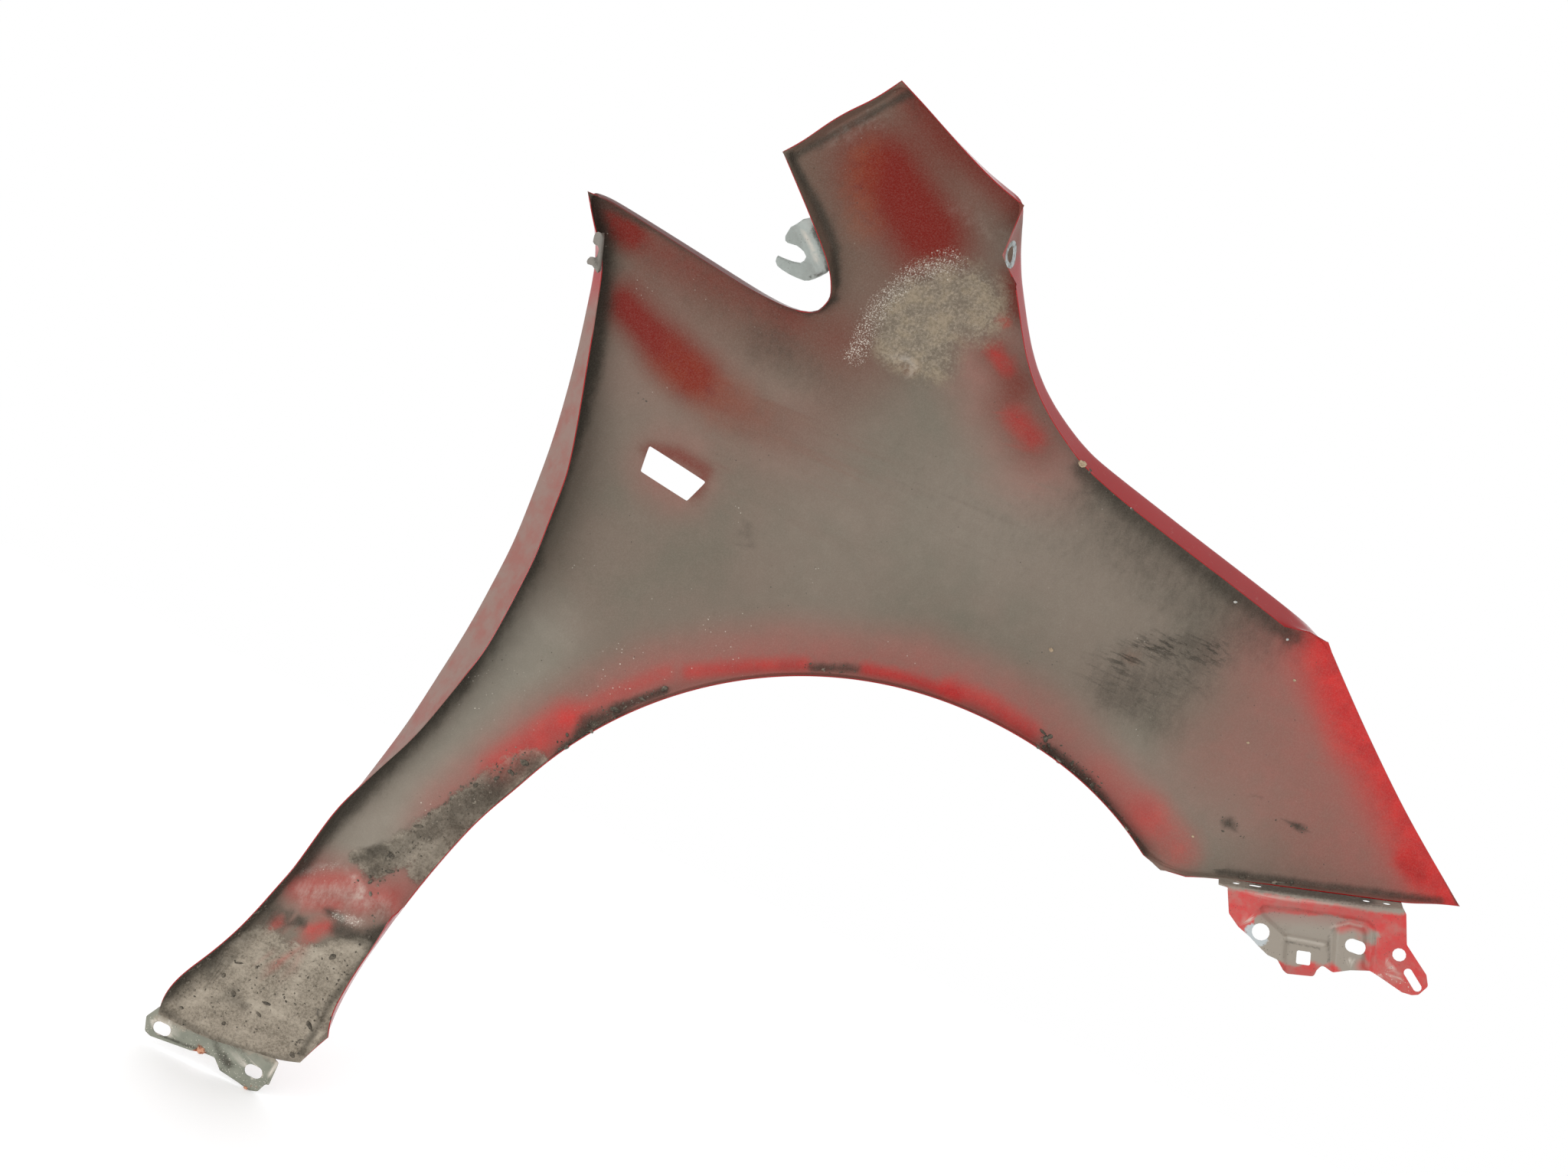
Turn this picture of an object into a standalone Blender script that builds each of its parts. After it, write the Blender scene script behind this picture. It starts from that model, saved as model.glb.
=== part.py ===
"""A car's left front fender: one pressed steel skin with four welded brackets.

The skin is drawn about the wheel's centre, with X to the car's front, Y outboard and Z up.
The finished part hangs from the sill bracket's bolt face, which is the part's origin.
"""

import math
from collections import namedtuple

import bmesh
import bpy
import numpy as np
from mathutils import Matrix, Vector
from mathutils.geometry import delaunay_2d_cdt

# Main sizes, in metres
REACH = 0.390
RISE = 0.7385
ARCH_RADIUS = 0.3485
SKIN = 0.0008
CLEARANCE = 0.0003
SKIN_SPACING = 0.021
RIM_SPACING = 0.017
BRACKET_SPACING = 0.0045

# Form of the skin, in metres of inboard travel or of the length that it takes
SHOULDER_ROLL = 0.140
NOSE_SWEEP = 0.085
REAR_SWEEP = 0.010
SILL_TUCK = 0.010
ARCH_SPREAD = 0.0032
FLARE_STEP = 0.011
FLARE_WIDTH = 0.062
FRONT_FLARE_WIDTH = 0.037
NECK_ROLL = 0.016
BELT_ROLL = 0.014
LEG_SEAT = 0.030
JOGGLE_RUN = 0.026

# Flanges along the skin's edges, in metres
FOLD_ARC = 0.005
FOLD_STEPS = 3
BUMPER_BEND = 73.0
NECK_END_BEND = 48.0
TAB_BEND = 108.0
FREE_EDGE_BEND = 50.0
FOLD_EDGE_BEND = 65.0
DOOR_FLANGE = 0.036
BONNET_FLANGE = 0.021
RING_TAB = 0.031
NECK_FLANGE = 0.008
NECK_LIP = 0.002
BELT_FLANGE = 0.008
BUMPER_FLANGE = 0.0045
BUMPER_LIP = 0.0015
ARCH_LIP = 0.010
CUT_EDGE = 0.002

# Holes in the skin, in metres
LAMP_HOLE_LENGTH = 0.056
LAMP_HOLE_HEIGHT = 0.022
LAMP_HOLE_CORNER = 0.002
RING_HOLE_RADIUS = 0.0062
CUTTER_OVERRUN = 0.012

# Brackets, in metres and degrees
BRACKET_BEND = 0.003
BUMPER_PLATE = 0.0015
BUMPER_LENGTH = 0.131
BUMPER_DROP = 0.060
BUMPER_SHELF = 0.017
BUMPER_PLACE_SHARE = 0.047
BUMPER_FIELD_DEPTH = 0.003
BUMPER_PAD_HEIGHT = 0.0035
BUMPER_RIB_HEIGHT = 0.0022
BUMPER_WALL_RUN = 0.0035
BOLT_HOLE_RADIUS = 0.0067
BOLT_OVAL_LENGTH = 0.0155
BOLT_OVAL_WIDTH = 0.0105
SQUARE_HOLE = 0.0105
ARM_HOLE_RADIUS = 0.005
ARM_SLOT_LENGTH = 0.0185
ARM_SLOT_WIDTH = 0.0065
WELD_HOLE_RADIUS = 0.0034

SILL_PLATE = 0.0015
SILL_HOLE_SPACING = 0.083
SILL_HOLE_LENGTH = 0.0155
SILL_HOLE_WIDTH = 0.0105
SILL_DROP = 0.015
SILL_CURL = 0.003
SILL_CURL_BEND = 70.0

HOOK_PLATE = 0.0022
HOOK_WIDTH = 0.048
HOOK_REACH = 0.036
HOOK_LEG = 0.006
HOOK_HALF_LEG = 0.009
HOOK_RISE = 0.003
HOOK_TURN = 0.0
HOOK_LEAN = 0.6

CLIP_PLATE = 0.0015
CLIP_HEIGHT = 0.034
CLIP_REACH = 0.0085
CLIP_SEAT = 0.014
CLIP_LEG = 0.008
CLIP_RISE = 0.003
CLIP_HALF_LEG = 0.006
CLIP_TURN = 0.0

Stage = namedtuple("Stage", "at width bend lip lip_bend slant")
Edge = namedtuple("Edge", "points flange stages")
Rim = namedtuple("Rim", "base across inboard along stage mitre")
Bend = namedtuple("Bend", "origin along down out angle radius")


# Small helpers for curves

def ramp(distance, run):
    """Travel of a slope that grows from nothing to one over the run, then stays."""
    t = np.clip(distance, 0.0, run)
    return t * t / (2.0 * run) + np.maximum(distance - run, 0.0)


def ease(value):
    """Smooth step from 0 to 1."""
    t = np.clip(value, 0.0, 1.0)
    return t * t * (3.0 - 2.0 * t)


def place(share_x, share_z):
    """Point of the side view, from shares of the reach and of the rise."""
    return Vector((share_x * REACH, share_z * RISE))


def smooth_line(points, steps=16):
    """Dense line through the points, by Catmull-Rom spans."""
    first = points[0] * 2 - points[1]
    last = points[-1] * 2 - points[-2]
    controls = [first, *points, last]
    line = []
    for a, b, c, d in zip(controls, controls[1:], controls[2:], controls[3:]):
        for step in range(steps):
            t = step / steps
            line.append(0.5 * (2 * b + (c - a) * t + (2 * a - 5 * b + 4 * c - d) * t * t
                               + (3 * b - a - 3 * c + d) * t * t * t))
    line.append(points[-1].copy())
    return line


def even_line(points, spacing):
    """Evenly spaced points along a line, with both of its ends."""
    lengths = [0.0]
    for a, b in zip(points, points[1:]):
        lengths.append(lengths[-1] + (b - a).length)
    count = max(2, round(lengths[-1] / spacing))
    wanted = np.linspace(0.0, lengths[-1], count + 1)
    xs = np.interp(wanted, lengths, [p.x for p in points])
    zs = np.interp(wanted, lengths, [p.y for p in points])
    return [Vector((float(x), float(z))) for x, z in zip(xs, zs)]


CORNER_REACH_SHARE = 0.45


def rounded_loop(corners, radius, steps=3):
    """Closed loop through the corners, each rounded by the radius."""
    loop = []
    for before, corner, after in zip(corners[-1:] + corners[:-1], corners, corners[1:] + corners[:1]):
        back = (before - corner).normalized()
        ahead = (after - corner).normalized()
        half = 0.5 * back.angle(ahead)
        reach = CORNER_REACH_SHARE * min((before - corner).length, (after - corner).length)
        run = min(radius / math.tan(half), reach)
        start, end = corner + back * run, corner + ahead * run
        for step in range(steps + 1):
            t = step / steps
            loop.append(start * (1 - t) ** 2 + corner * 2 * t * (1 - t) + end * t ** 2)
    return loop


def oval_loop(centre, length, width, turn=0.0, steps=16):
    """Closed slot-like loop with round ends, turned in its own plane."""
    straight = 0.5 * (length - width)
    loop = []
    for step in range(steps):
        angle = 2 * math.pi * (step + 0.5) / steps
        side = math.copysign(straight, math.cos(angle))
        point = Vector((side + 0.5 * width * math.cos(angle), 0.5 * width * math.sin(angle)))
        loop.append(centre + Matrix.Rotation(turn, 2) @ point)
    return loop


# The skin's form

SHOULDER_START_SHARE = 0.50
NOSE_START_SHARE = 0.154
NOSE_RUN_SHARE = 0.359
REAR_START_SHARE = -0.84
REAR_RUN_SHARE = 0.34
TUCK_START_SHARE = 0.092
CREASE_RUN_SHARE = 0.02
ARCH_FRONT_ANGLE = 57.3
ARCH_REAR_ANGLE = 160.0
ARCH_SPREAD_ANGLE = 92.0
ARCH_WIDEST_ANGLE = 66.0
FLARE_FULL_ANGLE = 76.0
NECK_CREASE_SHARES = ((-0.619, 0.958), (-0.387, 0.936))
BELT_CREASE_SHARES = ((-1.112, 0.7445), (-0.682, 0.7266))
BELT_FADE_SHARES = (-0.97, -0.36)
JOGGLE_SHARES = ((-1.176, -0.011), (-0.956, 0.004))
LEG_PLAIN_SHARES = (0.17, 0.03)


def height_over_line(x, z, shares):
    """Height above a slanting line of the side view."""
    a, b = place(*shares[0]), place(*shares[1])
    return z - a.y - (x - a.x) * (b.y - a.y) / (b.x - a.x)


def skin_depth(x, z):
    """Y of the skin's outer face at a point of the side view."""
    top_run = RISE * (1 - SHOULDER_START_SHARE)
    shoulder = SHOULDER_ROLL * ramp(z - RISE * SHOULDER_START_SHARE, top_run) / ramp(top_run, top_run)
    nose_start, nose_run = REACH * NOSE_START_SHARE, REACH * NOSE_RUN_SHARE
    nose = NOSE_SWEEP * ramp(x - nose_start, nose_run) / ramp(REACH - nose_start, nose_run)
    rear_run = REACH * REAR_RUN_SHARE
    rear = REAR_SWEEP * ramp(REACH * REAR_START_SHARE - x, rear_run) / ramp(rear_run, rear_run)
    tuck_run = RISE * TUCK_START_SHARE
    tuck = SILL_TUCK * ease((tuck_run - z) / (2 * tuck_run))

    from_hub = np.hypot(x, z)
    angle = np.degrees(np.arctan2(z, x))
    opening = ease((angle - ARCH_FRONT_ANGLE) / (FLARE_FULL_ANGLE - ARCH_FRONT_ANGLE))
    opening = np.where(angle < 0.0, 1.0, opening)
    flare_width = FRONT_FLARE_WIDTH + (FLARE_WIDTH - FRONT_FLARE_WIDTH) * opening
    plain_top, plain_end = RISE * LEG_PLAIN_SHARES[0], RISE * LEG_PLAIN_SHARES[1]
    plain = ease((plain_top - z) / (plain_top - plain_end)) * np.where(x < 0.0, 1.0, 0.0)
    flare = FLARE_STEP * np.maximum(ease((from_hub - ARCH_RADIUS) / flare_width), plain)

    crease_run = RISE * CREASE_RUN_SHARE
    neck_over = height_over_line(x, z, NECK_CREASE_SHARES)
    neck = NECK_ROLL * ramp(neck_over, crease_run) / ramp(2 * crease_run, crease_run)
    belt_over = height_over_line(x, z, BELT_CREASE_SHARES)
    fade_start, fade_end = REACH * BELT_FADE_SHARES[0], REACH * BELT_FADE_SHARES[1]
    fade = 1.0 - ease((x - fade_start) / (fade_end - fade_start))
    belt = BELT_ROLL * fade * ramp(belt_over, crease_run) / ramp(3 * crease_run, crease_run)

    body = -(shoulder + nose + rear + tuck + flare + neck + belt)
    seat = ease(-height_over_line(x, z, JOGGLE_SHARES) / JOGGLE_RUN)
    return body * (1.0 - seat) - LEG_SEAT * seat


def skin_point(point):
    """Point of the side view lifted to the skin's outer face."""
    return Vector((point.x, float(skin_depth(point.x, point.y)), point.y))


def skin_inboard(point):
    """Unit normal of the skin, pointing inboard."""
    slope_x = (skin_depth(point.x + SKIN, point.y) - skin_depth(point.x - SKIN, point.y)) / (2 * SKIN)
    slope_z = (skin_depth(point.x, point.y + SKIN) - skin_depth(point.x, point.y - SKIN)) / (2 * SKIN)
    return Vector((float(slope_x), -1.0, float(slope_z))).normalized()


# The skin's outline, clockwise as seen from inboard

def arch_point(degrees):
    """Point of the arch, which opens a little wider than its circle towards the front."""
    opening = float(ease((ARCH_SPREAD_ANGLE - degrees) / (ARCH_SPREAD_ANGLE - ARCH_WIDEST_ANGLE)))
    radius = ARCH_RADIUS + ARCH_SPREAD * opening
    angle = math.radians(degrees)
    return Vector((radius * math.cos(angle), radius * math.sin(angle)))


BELT_SHARES = (
    (-1.176, 0.8065), (-1.148, 0.8075), (-1.071, 0.8045), (-0.966, 0.799), (-0.8585, 0.7927), (-0.778, 0.788),
    (-0.733, 0.7865), (-0.699, 0.787), (-0.6705, 0.790), (-0.651, 0.797), (-0.6415, 0.807), (-0.6425, 0.819),
    (-0.652, 0.831), (-0.668, 0.8425), (-0.693, 0.8545), (-0.7335, 0.871), (-0.776, 0.887), (-0.833, 0.908))
NECK_END_SHARES = ((-0.833, 0.908), (-0.798, 0.9395), (-0.749, 0.970), (-0.684, 1.001))
BONNET_UPPER_SHARES = ((-0.684, 1.001), (-0.642, 0.996), (-0.590, 0.9875), (-0.532, 0.979), (-0.462, 0.971),
                       (-0.3855, 0.966))
BONNET_LOWER_SHARES = ((-0.3855, 0.966), (-0.363, 0.944), (-0.3385, 0.919), (-0.311, 0.8985), (-0.2335, 0.848),
                       (-0.1585, 0.815), (-0.056, 0.787), (0.011, 0.7765), (0.163, 0.759), (0.316, 0.741),
                       (0.461, 0.7215), (0.567, 0.704))
NOSE_SHARES = ((0.567, 0.704), (0.655, 0.6605), (0.729, 0.6245), (0.840, 0.572), (0.953, 0.523),
               (0.9965, 0.505))
BUMPER_KNEE_SHARE = (0.581, 0.4245)
LEG_SHARES = ((-0.878, 0.112), (-0.9125, 0.0485), (-0.931, 0.007), (-0.942, -0.0285), (-0.956, -0.0695),
              (-0.9635, -0.109), (-0.9655, -0.147), (-0.973, -0.175))
SILL_END_SHARES = ((-0.973, -0.175), (-0.998, -0.201), (-1.086, -0.208), (-1.197, -0.217), (-1.303, -0.214))
DOOR_SHARES = (
    (-1.303, -0.214), (-1.310, -0.2065), (-1.285, -0.163), (-1.247, -0.126), (-1.216, -0.092), (-1.192, -0.0575),
    (-1.174, -0.025), (-1.1645, 0.005), (-1.155, 0.0355), (-1.1455, 0.067), (-1.1185, 0.1315), (-1.094, 0.195),
    (-1.078, 0.2565), (-1.064, 0.317), (-1.057, 0.3755), (-1.054, 0.4335), (-1.060, 0.489), (-1.068, 0.544),
    (-1.080, 0.597), (-1.094, 0.6485), (-1.110, 0.698), (-1.122, 0.733), (-1.136, 0.7595), (-1.1505, 0.776),
    (-1.176, 0.8065))


BELT_START_SHARE = 0.5
NECK_TAPER_SHARE = 0.5
BONNET_UPPER_SHARE = 0.4
TAB_ROOT_SHARE = 0.4
BONNET_ROOT_SHARE = 0.5
BONNET_NARROW_SHARE = 0.6
DOOR_WIDTH_SHARES = (0.2, 0.3, 0.5, 0.8, 0.6)
DOOR_LIP_SHARE = 0.2
DOOR_TOP_LIP_SHARE = 0.12


def cut(at, bend=12.0):
    """Stage of an edge that is only cut: a short stretch that runs on from the skin."""
    return Stage(at, CUT_EDGE, bend, CUT_EDGE, bend, 0.0)


def flange(at, width, bend, lip=CUT_EDGE, lip_bend=None, slant=0.0):
    """Stage of a folded edge: its width and bend, and the lip at its free side."""
    return Stage(at, width, bend, lip, bend if lip_bend is None else lip_bend, slant)


def skin_edges():
    """Edges of the skin in order, each with its points and the stages of its flange."""
    arch_steps = 12
    arch = [arch_point(ARCH_FRONT_ANGLE + (ARCH_REAR_ANGLE - ARCH_FRONT_ANGLE) * i / arch_steps)
            for i in range(arch_steps + 1)]
    arch += [place(*share) for share in LEG_SHARES]

    def line(shares):
        return smooth_line([place(*share) for share in shares])

    upper = BONNET_UPPER_SHARE * BONNET_FLANGE
    foot, shin, knee, hip, chest = (share * DOOR_FLANGE for share in DOOR_WIDTH_SHARES)
    door_lip = DOOR_LIP_SHARE * DOOR_FLANGE
    return (
        Edge(line(BELT_SHARES), BELT_FLANGE, (
            cut(0.0, 85.0), flange(0.04, BELT_START_SHARE * BELT_FLANGE, 80.0), flange(0.42, BELT_FLANGE, 80.0),
            flange(0.56, NECK_FLANGE, 72.0, lip=NECK_LIP), flange(0.80, NECK_FLANGE, 68.0, lip=NECK_LIP),
            flange(0.94, NECK_TAPER_SHARE * NECK_FLANGE, 68.0, lip=NECK_LIP), cut(1.0, 60.0))),
        Edge(line(NECK_END_SHARES), NECK_FLANGE, (
            cut(0.0, 60.0), flange(0.10, NECK_FLANGE, NECK_END_BEND, lip=NECK_LIP),
            flange(0.90, NECK_FLANGE, NECK_END_BEND, lip=NECK_LIP), cut(1.0, 50.0))),
        Edge(line(BONNET_UPPER_SHARES), BONNET_FLANGE, (
            cut(0.0, 50.0), flange(0.10, upper, 56.0), flange(0.80, upper, 66.0), cut(1.0, 80.0))),
        Edge(line(BONNET_LOWER_SHARES), BONNET_FLANGE, (
            cut(0.0, 90.0), flange(0.02, TAB_ROOT_SHARE * RING_TAB, 98.0, slant=0.10),
            flange(0.070, RING_TAB, TAB_BEND, slant=0.25), flange(0.085, RING_TAB, TAB_BEND, slant=0.30),
            flange(0.118, BONNET_ROOT_SHARE * BONNET_FLANGE, 104.0),
            flange(0.30, BONNET_NARROW_SHARE * BONNET_FLANGE, 108.0),
            flange(0.55, BONNET_FLANGE, 112.0), flange(0.95, BONNET_FLANGE, 112.0), cut(1.0, 20.0))),
        Edge(line(NOSE_SHARES), CUT_EDGE, (cut(0.0, 20.0), cut(0.05), cut(0.95), cut(1.0))),
        Edge([place(*NOSE_SHARES[-1]), place(*BUMPER_KNEE_SHARE)], BUMPER_FLANGE, (
            cut(0.0), cut(0.05, 20.0), flange(0.20, BUMPER_FLANGE, BUMPER_BEND, lip=BUMPER_LIP),
            flange(1.0, BUMPER_FLANGE, BUMPER_BEND, lip=BUMPER_LIP))),
        Edge([place(*BUMPER_KNEE_SHARE), arch_point(ARCH_FRONT_ANGLE)], BUMPER_FLANGE, (
            flange(0.0, BUMPER_FLANGE, BUMPER_BEND, lip=BUMPER_LIP),
            flange(0.60, BUMPER_FLANGE, BUMPER_BEND, lip=BUMPER_LIP), cut(1.0, 20.0))),
        Edge(smooth_line(arch), ARCH_LIP, (
            cut(0.0, 20.0), flange(0.02, ARCH_LIP, 88.0), flange(0.72, ARCH_LIP, 88.0),
            flange(0.97, ARCH_LIP, 92.0), cut(1.0, 20.0))),
        Edge(line(SILL_END_SHARES), CUT_EDGE, (cut(0.0, 20.0), cut(0.1, 4.0), cut(0.9, 4.0), cut(1.0, 20.0))),
        Edge(line(DOOR_SHARES), DOOR_FLANGE, (
            cut(0.0, 20.0), flange(0.04, foot, 80.0), flange(0.18, shin, 78.0), flange(0.30, knee, 84.0),
            flange(0.40, hip, 112.0), flange(0.52, DOOR_FLANGE, 132.0, lip=door_lip, lip_bend=78.0),
            flange(0.72, DOOR_FLANGE, 132.0, lip=door_lip, lip_bend=78.0),
            flange(0.84, chest, 126.0, lip=DOOR_TOP_LIP_SHARE * DOOR_FLANGE, lip_bend=80.0),
            flange(0.905, CLIP_SEAT, 121.0), flange(0.965, CLIP_SEAT, 121.0), flange(0.985, foot, 96.0),
            cut(1.0, 85.0))),
    )


def stage_at(stages, at):
    """Stage between two stages of an edge."""
    places = [stage.at for stage in stages]
    return Stage(*(float(np.interp(at, places, [stage[i] for stage in stages])) for i in range(len(Stage._fields))))


def fold_inset(stage):
    """Distance from the drawn outline back to where the fold starts."""
    angle = math.radians(stage.bend)
    radius = FOLD_ARC / angle
    folded = radius * math.tan(0.5 * min(angle, 0.5 * math.pi))
    reach = radius * math.sin(angle) + (stage.width + stage.lip) * math.cos(angle)
    turned = float(ease((stage.bend - FREE_EDGE_BEND) / (FOLD_EDGE_BEND - FREE_EDGE_BEND)))
    return reach * (1 - turned) + folded * turned


def rim_at(point, outward, stage, mitre=1.0):
    """Rim at a point of the outline: where its fold starts, and its directions."""
    base = point - outward * fold_inset(stage) * mitre
    inboard = skin_inboard(base)
    across = Vector((outward.x, 0.0, outward.y))
    across = (across - inboard * across.dot(inboard)).normalized()
    return Rim(base, across, inboard, inboard.cross(across), stage, mitre)


def skin_rim(spacing):
    """Rim of the skin, point by point along its outline."""
    outline, stages = [], []
    edges = skin_edges()
    for before, edge in zip(edges[-1:] + edges[:-1], edges):
        points = even_line(edge.points, spacing)
        for i, point in enumerate(points[:-1]):
            stage = stage_at(edge.stages, i / (len(points) - 1))
            if i == 0:
                last = stage_at(before.stages, 1.0)
                stage = Stage(*(0.5 * (a + b) for a, b in zip(stage, last)))
            outline.append(point)
            stages.append(stage)

    rim = []
    count = len(outline)
    for i, (point, stage) in enumerate(zip(outline, stages)):
        ahead = (outline[(i + 1) % count] - point).normalized()
        behind = (point - outline[i - 1]).normalized()
        left_ahead, left_behind = Vector((-ahead.y, ahead.x)), Vector((-behind.y, behind.x))
        outward = (left_ahead + left_behind).normalized()
        mitre = 1.0 / max(outward.dot(left_ahead), 0.5)
        rim.append(rim_at(point, outward, stage, mitre))
    return rim


def flange_directions(rim):
    """Where a rim point's flange turns flat, its direction there, and the side that it faces."""
    angle = math.radians(rim.stage.bend)
    radius = FOLD_ARC / angle
    across = rim.across * rim.mitre
    start = skin_point(rim.base) + radius * (math.sin(angle) * across + (1 - math.cos(angle)) * rim.inboard)
    flat = math.cos(angle) * across + math.sin(angle) * rim.inboard
    facing = math.sin(angle) * rim.across - math.cos(angle) * rim.inboard
    return start, flat, facing


def flange_rows(rim, fold_steps):
    """Rows of points across the flange at one rim point, from the fold to the free edge."""
    stage = rim.stage
    across = rim.across * rim.mitre
    bend, lip_bend = math.radians(stage.bend), math.radians(stage.lip_bend)
    radius = FOLD_ARC / bend
    rows = []
    for step in range(1, fold_steps + 1):
        angle = bend * step / fold_steps
        rise = radius * (1 - math.cos(angle))
        rows.append(skin_point(rim.base) + radius * math.sin(angle) * across + rise * rim.inboard)
    flat = flange_directions(rim)[1] + stage.slant * rim.along
    rows.append(rows[-1] + flat * stage.width)
    lip = math.cos(lip_bend) * across + math.sin(lip_bend) * rim.inboard
    rows.append(rows[-1] + lip * stage.lip)
    return rows


# Meshes

LATTICE_MARGIN_SHARE = 0.6
LINE_MARGIN_SHARE = 0.3


def lattice(loop, holes, spacing):
    """Points of a triangular lattice inside the loop, clear of it and of the holes."""
    outer = np.array([tuple(p) for p in loop])
    low, high = outer.min(axis=0), outer.max(axis=0)
    row_height = spacing * math.sqrt(0.75)
    points = []
    for row in range(1, int((high[1] - low[1]) / row_height) + 1):
        shift = 0.5 * spacing * (row % 2)
        for column in range(int((high[0] - low[0]) / spacing) + 1):
            points.append((low[0] + shift + column * spacing, low[1] + row * row_height))
    points = np.array(points)
    keep = inside(points, outer)
    for ring in [outer] + [np.array([tuple(p) for p in hole]) for hole in holes]:
        keep &= distance_to(points, ring) > LATTICE_MARGIN_SHARE * spacing
        if ring is not outer:
            keep &= ~inside(points, ring)
    return [Vector((float(x), float(y))) for x, y in points[keep]]


def inside(points, ring):
    """Whether each point lies inside the ring."""
    result = np.zeros(len(points), dtype=bool)
    for (ax, ay), (bx, by) in zip(ring, np.roll(ring, -1, axis=0)):
        crosses = (ay > points[:, 1]) != (by > points[:, 1])
        with np.errstate(divide="ignore", invalid="ignore"):
            at = ax + (points[:, 1] - ay) * (bx - ax) / (by - ay)
        result ^= crosses & (points[:, 0] < at)
    return result


def distance_to(points, ring):
    """Distance from each point to the ring."""
    best = np.full(len(points), np.inf)
    for a, b in zip(ring, np.roll(ring, -1, axis=0)):
        span = b - a
        t = np.clip(((points - a) @ span) / max(span @ span, 1e-18), 0.0, 1.0)
        best = np.minimum(best, np.linalg.norm(points - a - t[:, None] * span, axis=1))
    return best


def clear_runs(line, rings, margin):
    """Stretches of a line that stay inside the first ring, clear of every ring."""
    points = np.array([tuple(p) for p in line])
    keep = inside(points, rings[0])
    for ring in rings:
        keep &= distance_to(points, ring) > margin
    runs, run = [], []
    for point, kept in zip(line, keep):
        if kept:
            run.append(point)
        elif run:
            runs.append(run)
            run = []
    return runs + [run] if run else runs


def triangulate(loop, holes, spacing, lines=()):
    """Flat mesh inside the loop and outside the holes, with edges along the given lines."""
    rings = [np.array([tuple(p) for p in ring]) for ring in [loop, *holes]]
    points = [Vector(p) for p in loop]
    edges = [(i, (i + 1) % len(loop)) for i in range(len(loop))]
    for hole in holes:
        first = len(points)
        points += hole
        edges += [(first + i, first + (i + 1) % len(hole)) for i in range(len(hole))]
    traced = []
    for line in lines:
        for run in clear_runs(line, rings, LINE_MARGIN_SHARE * spacing):
            first = len(points)
            points += run
            edges += [(first + i, first + i + 1) for i in range(len(run) - 1)]
            traced += run
    filling = lattice(loop, holes, spacing)
    if traced:
        near = np.array([tuple(p) for p in traced])
        filling = [p for p in filling
                   if np.hypot(near[:, 0] - p.x, near[:, 1] - p.y).min() > LATTICE_MARGIN_SHARE * spacing]
    flat, _, faces, _, _, _ = delaunay_2d_cdt(points + filling, edges, [], 1, 1e-7)
    centres = np.array([tuple(sum((flat[i] for i in face), Vector((0.0, 0.0))) / 3) for face in faces])
    keep = inside(centres, rings[0])
    for ring in rings[1:]:
        keep &= ~inside(centres, ring)
    return flat, [tuple(reversed(face)) for face, kept in zip(faces, keep) if kept]


def new_object(name, bm, colour, metallic, roughness, parent):
    """Object with its own material, hung on the parent."""
    mesh = bpy.data.meshes.new(name)
    bm.to_mesh(mesh)
    bm.free()
    obj = bpy.data.objects.new(name, mesh)
    bpy.context.collection.objects.link(obj)
    obj.parent = parent
    material = bpy.data.materials.new(name)
    material.use_nodes = True
    shader = material.node_tree.nodes["Principled BSDF"]
    shader.inputs["Base Color"].default_value = (*colour, 1.0)
    shader.inputs["Metallic"].default_value = metallic
    shader.inputs["Roughness"].default_value = roughness
    mesh.materials.append(material)
    mesh.shade_smooth()
    mesh.set_sharp_from_angle(angle=math.radians(35.0))
    return obj


def thicken(obj, thickness):
    """Gives a sheet its thickness, on the side that its faces turn away from."""
    wall = obj.modifiers.new("Wall", "SOLIDIFY")
    wall.thickness = thickness
    wall.offset = -1.0
    wall.use_quality_normals = True


def subtract(obj, cutter):
    """Cuts the cutter's shape out of the object."""
    cutter.hide_render = True
    cutter.display_type = "WIRE"
    hole = obj.modifiers.new("Hole", "BOOLEAN")
    hole.operation = "DIFFERENCE"
    hole.solver = "EXACT"
    hole.object = cutter


# Plates with one bend

def seated_bend(seat, neighbours, half_leg, leg_end, side, turn, radius):
    """Bend of a bracket whose leg lies on the outer face of a flange, clear of its curve.

    The plate beyond the bend looks inboard when the side is 1 and outboard when it is -1.
    """
    start, flat, facing = flange_directions(seat)
    bulge = 0.0
    for corner in [corner for rim in neighbours for corner in flange_rows(rim, FOLD_STEPS)]:
        beside = max(abs((corner - start).dot(seat.along)), half_leg)
        bulge = max(bulge, (corner - start).dot(facing) * half_leg / beside)
    leg = start + facing * (bulge + CLEARANCE) + flat.normalized() * leg_end
    turn = math.radians(turn)
    down = math.cos(turn) * seat.across + math.sin(turn) * seat.inboard
    out = side * (math.cos(turn) * seat.inboard - math.sin(turn) * seat.across)
    angle = math.radians(seat.stage.bend) - turn
    if side < 0:
        angle = math.pi - angle
    origin = leg + radius * (math.sin(angle) * down + (1 - math.cos(angle)) * out)
    return Bend(origin, seat.along, down, out, angle, radius)


def bent(bend, point, height=0.0):
    """Point of a plate drawn flat: what lies above the bend line is folded back."""
    across, drop = point
    turned = min(max(-drop / bend.radius, 0.0), bend.angle)
    beyond = max(-drop - bend.radius * bend.angle, 0.0)
    run = -bend.down * math.cos(turned) - bend.out * math.sin(turned)
    normal = bend.out * math.cos(turned) - bend.down * math.sin(turned)
    rolled = bend.origin - bend.radius * (math.sin(turned) * bend.down + (1 - math.cos(turned)) * bend.out)
    return rolled + bend.along * across + bend.down * max(drop, 0.0) + run * beyond + normal * height


HOOK_PLACE_SHARES = (-0.680, 0.848)
CLIP_PLACE_SHARES = (-1.128, 0.751)
SILL_PLACE_SHARES = (-1.2845, -0.2295)
SILL_FOLD_SHARE = 1.157


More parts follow.
